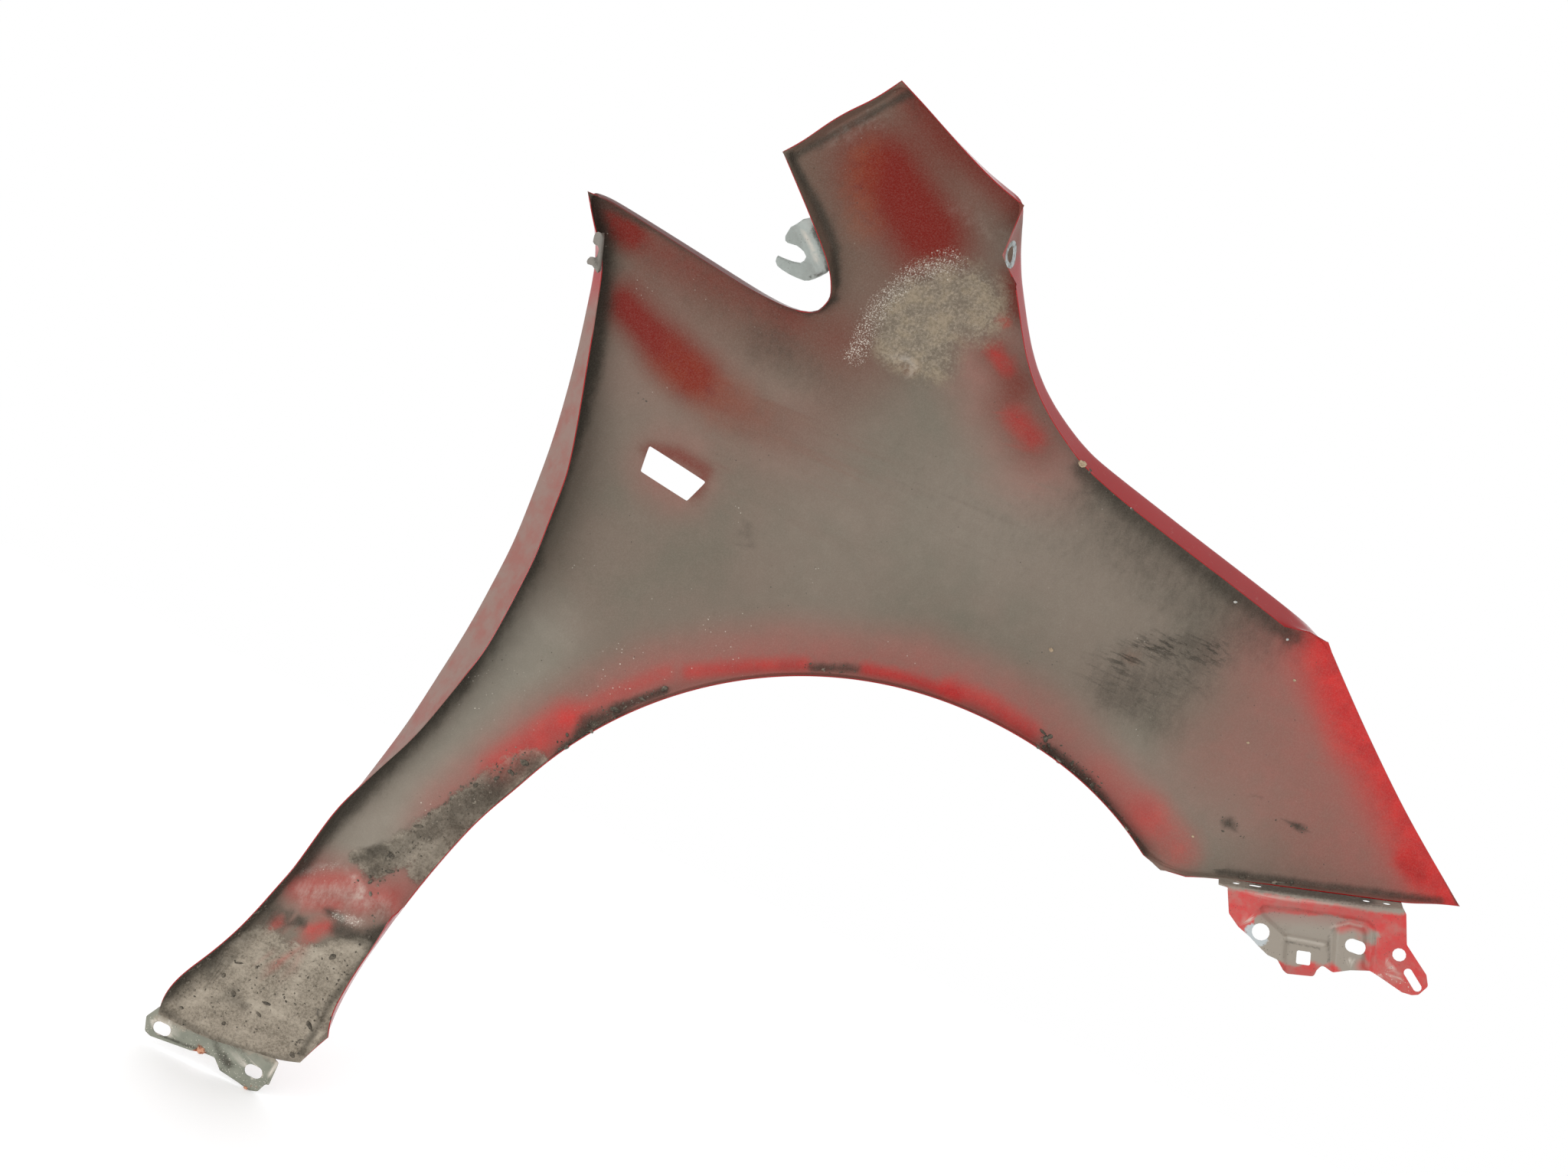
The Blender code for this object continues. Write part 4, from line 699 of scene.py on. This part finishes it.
def bracket_material(bracket, looks):
    """Painted or primed bracket steel, with a second finish where its layer says."""
    shader = Shader(bracket.material)
    base, under = getattr(looks, bracket.base), getattr(looks, bracket.under)
    blotch = shader.noise(70.0, 6.0, 0.65)
    rough = shader.noise(420.0, 5.0, 0.75)
    grain = shader.noise(1300.0, 2.0)
    shader.colour = shader.mix(blotch.between(0.35, 0.7) * 0.4, base, under)
    second = shader.layer(bracket.under_layer) + (blotch - 0.5) * 0.5 + (rough - 0.5) * 0.3
    shader.over(second.between(0.35, 0.65), under)
    haze = shader.layer("haze") * (0.4 + blotch)
    shader.over((haze * 0.6).clamp(), looks.haze)
    shader.over(shader.layer("spray") * 0.8, looks.overspray)
    mud = (shader.layer("mud") + (rough - 0.5)).between(0.35, 0.7)
    shader.over(mud * 0.7, looks.mud)
    rust = (shader.layer("rust") + (rough - 0.5) * 0.6).between(0.35, 0.6)
    shader.over(rust, looks.rust)
    # dark grime, and painted shade along the pressed edges and beside the flange
    grime = (shader.layer("grime") + (rough - 0.5) * 0.8).between(0.25, 0.9)
    shader.over(grime * 0.8, looks.grime)
    zinc = (shader.layer("zinc") + (rough - 0.5) * 0.7).between(0.3, 0.5)
    shader.over(zinc, looks.zinc)
    # pale wear, and painted highlights along the bends, rims and pressed edges
    worn = (shader.layer("worn") * (0.7 + 0.8 * rough)).clamp()
    shader.over(worn, looks.fleck_and_highlight)
    dark = shader.flecks(420.0, 0.22) * shader.noise(120.0).between(0.45, 0.62)
    shader.over(dark * 0.6, looks.grime)
    pale = shader.flecks(520.0, 0.2)
    speck = shader.layer("speck") + shader.noise(90.0) * 0.6
    shader.over(pale * speck.between(0.5, 0.8), looks.fleck_and_highlight)
    roughness = bracket.shine + 0.2 * blotch + 0.4 * grime + 0.4 * mud + 0.3 * rust
    shader.bump(0.6 * rough + 0.3 * grain + 0.6 * mud * rough, 0.0004, 0.5)
    return shader.finish(roughness.clamp(0.1, 1.0))


def clump_material(looks):
    """Dried earth: dark crumbs with paler dust on them."""
    shader = Shader("dry_earth")
    rough = shader.noise(500.0, 5.0, 0.7)
    blotch = shader.noise(60.0, 3.0)
    shader.colour = shader.mix(rough.between(0.35, 0.65), looks.grime, looks.mud_dark)
    shader.over(blotch.between(0.5, 0.7) * 0.7, looks.mud)
    shader.bump(rough, 0.0005, 0.8)
    return shader.finish(0.95)


Grit = namedtuple("Grit", "name scale detail low high base over depth strength roughness")

GRITS = {
    "chip": Grit("pale_chips", 600.0, 4.0, 0.4, 0.65, "fleck_and_highlight", "zinc", 0.0003, 0.5, 0.6),
    "stone": Grit("wedged_stone", 380.0, 5.0, 0.35, 0.7, "stone", "stone_dark", 0.0004, 0.7, 0.85),
    "flake": Grit("rust_flake", 420.0, 5.0, 0.35, 0.7, "flake", "rust", 0.0004, 0.7, 0.8),
}


def grit_material(kind, looks):
    """Chips of paint, stones or flakes of rust, in two tones."""
    grit = GRITS[kind]
    shader = Shader(grit.name)
    rough = shader.noise(grit.scale, grit.detail, 0.7)
    base, over = getattr(looks, grit.base), getattr(looks, grit.over)
    shader.colour = shader.mix(rough.between(grit.low, grit.high), base, over)
    shader.bump(rough, grit.depth, grit.strength)
    return shader.finish(grit.roughness)


def floor_material(looks):
    """Pale painted floor with faint wear."""
    shader = Shader("pale_floor")
    clouds = shader.noise(3.0, 5.0)
    fine = shader.noise(90.0, 4.0)
    shader.colour = shader.mix(clouds.between(0.3, 0.8) * 0.5, looks.floor, looks.floor_shade)
    shader.bump(fine, 0.0003, 0.2)
    shader.feed(shader.sockets["Emission Color"], shader.colour)
    shader.sockets["Emission Strength"].default_value = FLOOR_GLOW
    return shader.finish(0.7)


# Meshes

def merged_copy(node):
    """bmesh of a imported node, with its loose triangles joined at their corners."""
    bm = bmesh.new()
    bm.from_mesh(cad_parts[node].data)
    bmesh.ops.remove_doubles(bm, verts=bm.verts, dist=JOIN_DISTANCE)
    return bm


def new_piece(name, bm, materials):
    """Object with its place in its mesh, made from a bmesh that it uses up."""
    mesh = bpy.data.meshes.new(name)
    bm.to_mesh(mesh)
    bm.free()
    piece = bpy.data.objects.new(name, mesh)
    bpy.context.scene.collection.objects.link(piece)
    for material in materials:
        mesh.materials.append(material)
    return piece


def baked(piece):
    """Puts the piece's evaluated mesh in the place of its mesh and modifiers."""
    depsgraph = bpy.context.evaluated_depsgraph_get()
    mesh = bpy.data.meshes.new_from_object(piece.evaluated_get(depsgraph))
    piece.modifiers.clear()
    old = piece.data
    piece.data = mesh
    mesh.name = piece.name
    bpy.data.meshes.remove(old)


def keep_in_box(piece):
    """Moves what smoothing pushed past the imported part's box back onto it."""
    points = np.clip(vertex_rows(piece.data), np.array(CAD_BOX[0]), np.array(CAD_BOX[1]))
    piece.data.vertices.foreach_set("co", points.ravel())
    piece.data.update()


def settle(piece, slot, *nodes):
    """Keeps a finished piece in the part's box, hangs it on the part and hides the nodes it stands
    for.
    """
    keep_in_box(piece)
    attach(piece, "root")
    if nodes:
        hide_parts(*nodes)


def outer_sheet():
    """The skin's outer face alone, as one sheet that looks outwards."""
    bm = merged_copy("fender_skin")
    slack = WALL_TOLERANCE * SHEET
    walls = {face for face in bm.faces
             if any(abs(edge.calc_length() - SHEET) < slack for edge in face.edges)}
    seed = max((face for face in bm.faces if face not in walls),
               key=lambda face: face.calc_center_median().y)
    sheet, front = {seed}, [seed]
    while front:
        face = front.pop()
        for edge in face.edges:
            for other in edge.link_faces:
                if other not in sheet and other not in walls:
                    sheet.add(other)
                    front.append(other)
    others = [face for face in bm.faces if face not in sheet]
    bmesh.ops.delete(bm, geom=others, context="FACES")
    crease = bm.verts.layers.float.new("crease_vert")
    for vert in bm.verts:
        ends = [edge.other_vert(vert).co - vert.co for edge in vert.link_edges if edge.is_boundary]
        if len(ends) == 2 and math.pi - ends[0].angle(ends[1]) > CORNER_TURN:
            vert[crease] = 1.0
    return bm


def make_skin(looks):
    """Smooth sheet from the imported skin, with its marks and dents, then given its thickness."""
    materials = [paint_material(looks), primer_material(looks)]
    piece = new_piece("fender_shell", outer_sheet(), materials)
    smooth = piece.modifiers.new("Smooth", "SUBSURF")
    smooth.levels = smooth.render_levels = looks.skin_levels
    baked(piece)
    paint_layers(piece.data, SKIN_MARKS, OUTSIDE_LAYERS)
    raise_ridges(piece.data, SKIN_RIDGES)
    wall = piece.modifiers.new("Wall", "SOLIDIFY")
    wall.thickness = SHEET
    wall.offset = -1.0
    wall.material_offset = 1
    baked(piece)
    piece.data.shade_smooth()
    piece.data.set_sharp_from_angle(angle=SKIN_SHARP)
    settle(piece, "body_paint", "fender_skin")


def make_bracket(bracket, looks):
    """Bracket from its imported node, its flat faces divided finely enough for thin marks."""
    material = bracket_material(bracket, looks)
    piece = new_piece(bracket.piece, merged_copy(bracket.node), [material])
    fine = piece.modifiers.new("Fine", "SUBSURF")
    fine.subdivision_type = "SIMPLE"
    fine.levels = fine.render_levels = BRACKET_LEVELS
    baked(piece)
    paint_layers(piece.data, bracket.marks)
    piece.data.shade_smooth()
    piece.data.set_sharp_from_angle(angle=BRACKET_SHARP)
    settle(piece, bracket.slot, bracket.node)


# Crumbs by Geometry Nodes: wobbled spheres, from the least to the most share of a usual size

CRUMB_LEVELS = 2
CRUMB_NOISE = 1.3
CRUMB_WOBBLE = 1.4
CRUMB_LEAST = (0.35, 0.35, 0.2)
CRUMB_MOST = (1.6, 1.2, 0.7)


def crumb_tree():
    """Node tree that scatters lumps over a sheet, as thick as its layer says."""
    tree = bpy.data.node_groups.new("scatter_crumbs", "GeometryNodeTree")
    for name, kind in (("Geometry", "Geometry"), ("Layer", "Float"), ("Density", "Float"),
                       ("Size", "Float"), ("Seed", "Int"), ("Material", "Material")):
        tree.interface.new_socket(name, in_out="INPUT", socket_type="NodeSocket" + kind)
    tree.interface.new_socket("Geometry", in_out="OUTPUT", socket_type="NodeSocketGeometry")

    def node(kind, settings=None, links=None):
        made = tree.nodes.new(kind)
        for key, value in (settings or {}).items():
            setattr(made, key, value)
        for key, value in (links or {}).items():
            if isinstance(value, bpy.types.NodeSocket):
                tree.links.new(value, made.inputs[key])
            else:
                made.inputs[key].default_value = value
        return made

    def scaled(vector, share):
        made = node("ShaderNodeVectorMath", {"operation": "SCALE"}, {0: vector, "Scale": share})
        return made.outputs[0]

    given = node("NodeGroupInput").outputs
    thick = node("ShaderNodeMath", {"operation": "MULTIPLY"},
                 {0: given["Layer"], 1: given["Density"]})
    points = node("GeometryNodeDistributePointsOnFaces", links={
        "Mesh": given["Geometry"], "Density": thick.outputs[0], "Seed": given["Seed"]}).outputs
    lump = node("GeometryNodeMeshIcoSphere", links={"Radius": 1.0, "Subdivisions": CRUMB_LEVELS})
    wobble = node("ShaderNodeTexNoise", links={"Scale": CRUMB_NOISE})
    centred = node("ShaderNodeVectorMath", {"operation": "SUBTRACT"},
                   {0: wobble.outputs["Color"], 1: (0.5, 0.5, 0.5)})
    push = scaled(centred.outputs[0], CRUMB_WOBBLE)
    rough = node("GeometryNodeSetPosition", links={
        "Geometry": lump.outputs["Mesh"], "Offset": push})
    low = scaled(CRUMB_LEAST, given["Size"])
    high = scaled(CRUMB_MOST, given["Size"])
    scale = node("FunctionNodeRandomValue", {"data_type": "FLOAT_VECTOR"},
                 {0: low, 1: high, "Seed": given["Seed"]})
    spin = node("FunctionNodeRandomValue", {"data_type": "FLOAT"},
                {2: 0.0, 3: 2 * math.pi, "Seed": given["Seed"]})
    about = node("ShaderNodeCombineXYZ", links={"Z": spin.outputs[1]})
    turn = node("FunctionNodeRotateRotation", {"rotation_space": "LOCAL"},
                {0: points["Rotation"], 1: about.outputs[0]})
    placed = node("GeometryNodeInstanceOnPoints", links={
        "Points": points["Points"], "Instance": rough.outputs[0], "Rotation": turn.outputs[0],
        "Scale": scale.outputs[0]})
    real = node("GeometryNodeRealizeInstances", links={"Geometry": placed.outputs[0]})
    dressed = node("GeometryNodeSetMaterial", links={
        "Geometry": real.outputs[0], "Material": given["Material"]})
    node("NodeGroupOutput", links={"Geometry": dressed.outputs[0]})
    return tree


def input_key(tree, name):
    """Identifier of a node group's input."""
    for item in tree.interface.items_tree:
        if item.item_type == "SOCKET" and item.in_out == "INPUT" and item.name == name:
            return item.identifier
    raise KeyError(name)


CRUMB_MARKS = (
    (17, 0.9, (735, 982), (775, 948), (800, 934)),
    (10, 0.8, (805, 926), (866, 903)),
    (9, 0.8, (1055, 872), (1115, 874)),
    (13, 0.9, (1360, 970), (1420, 1015), (1450, 1060), (1490, 1115)),
    (24, 0.5, (480, 1160), (560, 1085), (620, 1030), (690, 985)),
    (12, 0.8, (205, 1305), (280, 1240), (345, 1180), (400, 1110)),
    (10, 0.6, (385, 1375), (440, 1285), (490, 1205)),
    (70, 0.22, (250, 1300), (400, 1290)),
    (9, 1.0, (1600, 1076), (1612, 1084)),
    (9, 1.0, (1685, 1074), (1697, 1082)),
    (6, 1.0, (840, 515), (856, 525)),
    (8, 0.5, (1430, 622), (1500, 680)),
    (6, 0.5, (1595, 1143), (1760, 1163)),
)

# Flakes of paint along the bonnet fold

FLAKE_MARKS = (
    (8, 1.0, (1452, 640), (1484, 668)),
    (7, 0.8, (1548, 728), (1566, 742)),
    (7, 0.9, (1588, 762), (1630, 796)),
    (8, 1.0, (1676, 818), (1704, 836)),
)

Lump = namedtuple("Lump", "name finish base pixel radius squash")

LUMPS = (
    Lump("wedged_pebble", "stone", "fender_shell", (1414, 608), 0.0034, 0.75),
    Lump("rust_lump", "flake", "sill_foot_bracket", (262, 1373), 0.0034, 0.5),
    Lump("rust_chip", "flake", "sill_foot_bracket", (316, 1425), 0.0018, 0.6),
    Lump("primer_pip", "stone", "fender_shell", (1374, 836), 0.0020, 0.5),
    Lump("pale_grain_upper", "stone", "fender_shell", (1691, 887), 0.0012, 0.5),
    Lump("pale_grain_middle", "stone", "fender_shell", (1633, 973), 0.0012, 0.5),
    Lump("pale_grain_lower", "stone", "fender_shell", (1557, 1090), 0.0012, 0.5),
    Lump("pale_grain_arch", "stone", "fender_shell", (1340, 914), 0.0012, 0.5),
)
LUMP_LEVELS = 3
LUMP_WIDTH = 0.8
LUMP_ROUGHNESS = 0.35
LUMP_NOISE = 1.7
LUMP_SHIFT = 100.0
DEPTH_WEIGHT = 300.0


def photo_vertex(mesh, pixel):
    """The vertex that shows closest to a pixel of the photograph, the nearer one of a pair."""
    points = vertex_rows(mesh)
    apart = np.linalg.norm(photo_place(points) - np.array(pixel), axis=1)
    return mesh.vertices[int(np.argmin(apart + DEPTH_WEIGHT * points[:, 1]))]


def make_lumps(looks):
    """Single stones, grains and flakes, stuck where the photograph shows them."""
    finishes = {kind: grit_material(kind, looks) for kind in ("stone", "flake")}
    for lump in LUMPS:
        base = photo_vertex(bpy.data.objects[lump.base].data, lump.pixel)
        spot, normal = base.co.copy(), base.normal.copy()
        bm = bmesh.new()
        bmesh.ops.create_icosphere(bm, subdivisions=LUMP_LEVELS, radius=1.0)
        for vert in bm.verts:
            spread = noise.noise(vert.co * LUMP_NOISE + spot * LUMP_SHIFT)
            vert.co *= 1.0 + LUMP_ROUGHNESS * spread
        shape = Matrix.Diagonal((lump.radius, lump.radius * LUMP_WIDTH,
                                 lump.radius * lump.squash, 1.0))
        turn = normal.to_track_quat("Z", "Y").to_matrix().to_4x4()
        bmesh.ops.transform(bm, matrix=Matrix.Translation(spot) @ turn @ shape, verts=bm.verts)
        piece = new_piece(lump.name, bm, [finishes[lump.finish]])
        piece.data.shade_smooth()
        settle(piece, "body_paint")


def inner_sheet(name, shell, marks):
    """The skin's inner face alone, turned to look inboard, with a layer of its own on it."""
    bm = bmesh.new()
    bm.from_mesh(shell.data)
    others = [face for face in bm.faces if face.material_index != 1]
    bmesh.ops.delete(bm, geom=others, context="FACES")
    piece = new_piece(name, bm, [])
    paint_layer(piece.data, "scatter", marks)
    return piece


def make_crumbs(looks, shell):
    """Crumbs and clumps of dried earth on the inner face, and flakes of paint along its fold."""
    tree = crumb_tree()
    earth, chips = clump_material(looks), grit_material("chip", looks)
    for name, marks, density, size, seed, material in (
            ("earth_crumbs", CRUMB_MARKS, looks.crumb_density, looks.crumb_size, 0, earth),
            ("earth_clumps", CRUMB_MARKS, looks.clump_density, looks.clump_size, 1, earth),
            ("fold_flakes", FLAKE_MARKS, looks.clump_density, looks.flake_size, 2, chips)):
        piece = inner_sheet(name, shell, marks)
        scatter = piece.modifiers.new("Scatter", "NODES")
        scatter.node_group = tree
        layer = input_key(tree, "Layer")
        scatter[layer + "_use_attribute"] = True
        scatter[layer + "_attribute_name"] = "scatter"
        for title, value in (("Density", density), ("Size", size), ("Seed", looks.seed + seed),
                             ("Material", material)):
            scatter[input_key(tree, title)] = value
        baked(piece)
        settle(piece, "body_paint")


# Operators and settings

class FENDER_PG_looks(bpy.types.PropertyGroup):
    """Colours and sizes that a user would change."""

    def colour(name, *shown, linear=None):
        return FloatVectorProperty(name=name, default=linear or srgb(*shown), subtype="COLOR",
                                   size=3, min=0.0, max=1.0)

    def length(name, value):
        return FloatProperty(name=name, default=value, min=0.0, unit="LENGTH")

    def amount(name, value):
        return FloatProperty(name=name, default=value, min=0.0)

    primer: colour("Grey-brown primer of the inner face", 109, 96, 85)
    primer_green: colour("Greener tone of the primer", 97, 92, 80)
    primer_pale: colour("Paler clouds in the primer", 126, 113, 101)
    primer_faded: colour("Paler and greyer primer", 140, 134, 122)
    haze: colour("Thin pinkish overspray", 144, 84, 77)
    overspray: colour("Red paint sprayed on the primer", 188, 45, 43)
    overspray_deep: colour("Darker tone of the overspray", 164, 40, 40)
    deep_red: colour("Red-brown paint of the neck", 106, 18, 8)
    deep_brown: colour("Thin fringe of the neck's paint, and painted shade over the neck", 84, 50, 36)
    stain: colour("Dark maroon rim of the paint", 84, 46, 42)
    rust: colour("Orange-brown rust", 140, 72, 40)
    grime: colour("Dark grime and painted shade in the folds", 52, 48, 41)
    mud: colour("Dried mud", 152, 142, 127)
    mud_dark: colour("Shaded crumbs of the mud", 98, 90, 78)
    mud_pale: colour("Dusty crumbs of the mud", 176, 166, 150)
    residue: colour("Rough residue in the neck's root", 110, 101, 88)
    residue_pale: colour("Pale grains of the residue", 158, 146, 129)
    residue_yellow: colour("Yellowish core of the residue", 136, 121, 94)
    fleck_and_highlight: colour("Small pale flecks and painted highlights", 196, 188, 176)
    paint: colour("Glossy red of the outer face", 150, 20, 22)
    paint_deep: colour("Darker tone of the paint", 122, 16, 18)
    dull_paint: colour("Thin paint on the door flange", 130, 107, 99)
    dull_paint_red: colour("Redder clouds on the door flange", 134, 90, 83)
    dust: colour("Dust and fine scratches on the paint", 190, 160, 150)
    zinc: colour("Bare zinc round the bolt hole", 170, 176, 177)
    zinc_dark: colour("Stained zinc", 118, 118, 112)
    sill: colour("Greenish grey primer", 112, 114, 101)
    sill_worn: colour("Paler worn primer", 142, 141, 127)
    hook: colour("Pale grey of the glass hook", 158, 165, 160)
    hook_web_dirt_and_shade: colour("Darker web of the hook", 118, 124, 118)
    clip: colour("Dark grey of the pillar clip", 112, 108, 101)
    bracket_under: colour("Primer in the bumper bracket's field", 140, 131, 119)
    flake: colour("Copper-brown flake of rust", 190, 140, 112)
    stone: colour("Wedged stone", 178, 158, 130)
    stone_dark: colour("Shaded grains of the stone", 120, 100, 80)
    floor: colour("Pale floor", linear=(0.94, 0.94, 0.94))
    floor_shade: colour("Faint clouds on the floor", linear=(0.9, 0.9, 0.91))
    skin_levels: IntProperty(name="Subdivisions of the sheet", default=2, min=0, max=3)
    crumb_density: amount("Crumbs on a square metre of the thickest dirt", 90000.0)
    crumb_size: length("Radius of a usual crumb", 0.0008)
    clump_density: amount("Clumps on a square metre of the thickest dirt", 9000.0)
    clump_size: length("Radius of a usual clump", 0.0026)
    flake_size: length("Radius of a paint flake on the fold", 0.0011)
    seed: IntProperty(name="Seed of the scattered crumbs", default=7)
    world_strength: amount("Strength of the even light", 1.0)
    key_power: amount("Power of the soft lamp, in watts", 5.0)
    floor_reach: length("Half the floor's width", 1.6)
    floor_gap: length("Gap between floor and part", 0.0005)


class FENDER_OT_skin(bpy.types.Operator):
    """Make the fender's sheet, with its outer paint and inner primer"""
    bl_idname = "fender.skin"
    bl_label = "Skin"

    def execute(self, context):
        make_skin(context.scene.fender_looks)
        return {"FINISHED"}


class FENDER_OT_brackets(bpy.types.Operator):
    """Make the four welded brackets with their finishes"""
    bl_idname = "fender.brackets"
    bl_label = "Brackets"

    def execute(self, context):
        for bracket in BRACKETS:
            make_bracket(bracket, context.scene.fender_looks)
        return {"FINISHED"}


class FENDER_OT_crumbs(bpy.types.Operator):
    """Put crumbs, stones and flakes on the inner face"""
    bl_idname = "fender.crumbs"
    bl_label = "Crumbs and stones"

    def execute(self, context):
        make_crumbs(context.scene.fender_looks, bpy.data.objects["fender_shell"])
        make_lumps(context.scene.fender_looks)
        return {"FINISHED"}


class FENDER_OT_stage(bpy.types.Operator):
    """Set up the floor, the lights and the camera"""
    bl_idname = "fender.stage"
    bl_label = "Floor, lights and camera"

    def execute(self, context):
        make_stage(context.scene.fender_looks)
        return {"FINISHED"}


class FENDER_PT_panel(bpy.types.Panel):
    """Panel that lists the steps in order"""
    bl_label = "Fender"
    bl_space_type = "VIEW_3D"
    bl_region_type = "UI"
    bl_category = "Fender"

    def draw(self, context):
        for operator in OPERATORS:
            self.layout.operator(operator.bl_idname)
        looks = context.scene.fender_looks
        for name in ("primer", "paint", "overspray", "mud", "crumb_density", "key_power"):
            self.layout.prop(looks, name)


def make_stage(looks):
    """Pale floor, even sky light, a soft lamp beside the part and the photograph's camera."""
    low, high = CAD_BOX
    middle = (low + high) * 0.5
    bm = bmesh.new()
    bmesh.ops.create_grid(bm, x_segments=FLOOR_CELLS, y_segments=FLOOR_CELLS,
                          size=looks.floor_reach)
    bmesh.ops.translate(bm, verts=bm.verts, vec=(middle.x, middle.y, low.z - looks.floor_gap))
    floor = new_piece("pale_floor", bm, [floor_material(looks)])

    scene = bpy.context.scene
    world = bpy.data.worlds.new("studio_sky")
    world.use_nodes = True
    sky = world.node_tree.nodes["Background"]
    sky.inputs["Color"].default_value = (1.0, 1.0, 1.0, 1.0)
    sky.inputs["Strength"].default_value = looks.world_strength
    scene.world = world

    lamp_data = bpy.data.lights.new("soft_lamp", "AREA")
    lamp_data.shape = "RECTANGLE"
    lamp_data.size, lamp_data.size_y = LAMP_SIZE
    lamp_data.energy = looks.key_power
    lamp = bpy.data.objects.new("soft_lamp", lamp_data)
    scene.collection.objects.link(lamp)
    lamp.location = middle + Vector(LAMP_OFFSET)
    lamp.rotation_euler = (middle - lamp.location).to_track_quat("-Z", "Y").to_euler()

    camera_data = bpy.data.cameras.new("photo_camera")
    camera_data.lens = LENS_MM
    camera_data.sensor_width = SENSOR_MM
    camera = bpy.data.objects.new("photo_camera", camera_data)
    scene.collection.objects.link(camera)
    axes = Matrix((CAMERA_RIGHT, CAMERA_UP, (0.0, -1.0, 0.0))).transposed().to_4x4()
    camera.matrix_world = Matrix.Translation(CAMERA_PLACE) @ axes
    scene.camera = camera
    scene.view_settings.view_transform = "Standard"


OPERATORS = (FENDER_OT_skin, FENDER_OT_brackets, FENDER_OT_crumbs, FENDER_OT_stage)
CLASSES = (FENDER_PG_looks, *OPERATORS, FENDER_PT_panel)


def register():
    for made in CLASSES:
        bpy.utils.register_class(made)
    bpy.types.Scene.fender_looks = PointerProperty(type=FENDER_PG_looks)


def unregister():
    del bpy.types.Scene.fender_looks
    for made in reversed(CLASSES):
        bpy.utils.unregister_class(made)


def main():
    register()
    bpy.ops.fender.skin()
    bpy.ops.fender.brackets()
    bpy.ops.fender.crumbs()
    bpy.ops.fender.stage()


if __name__ == "__main__":
    main()
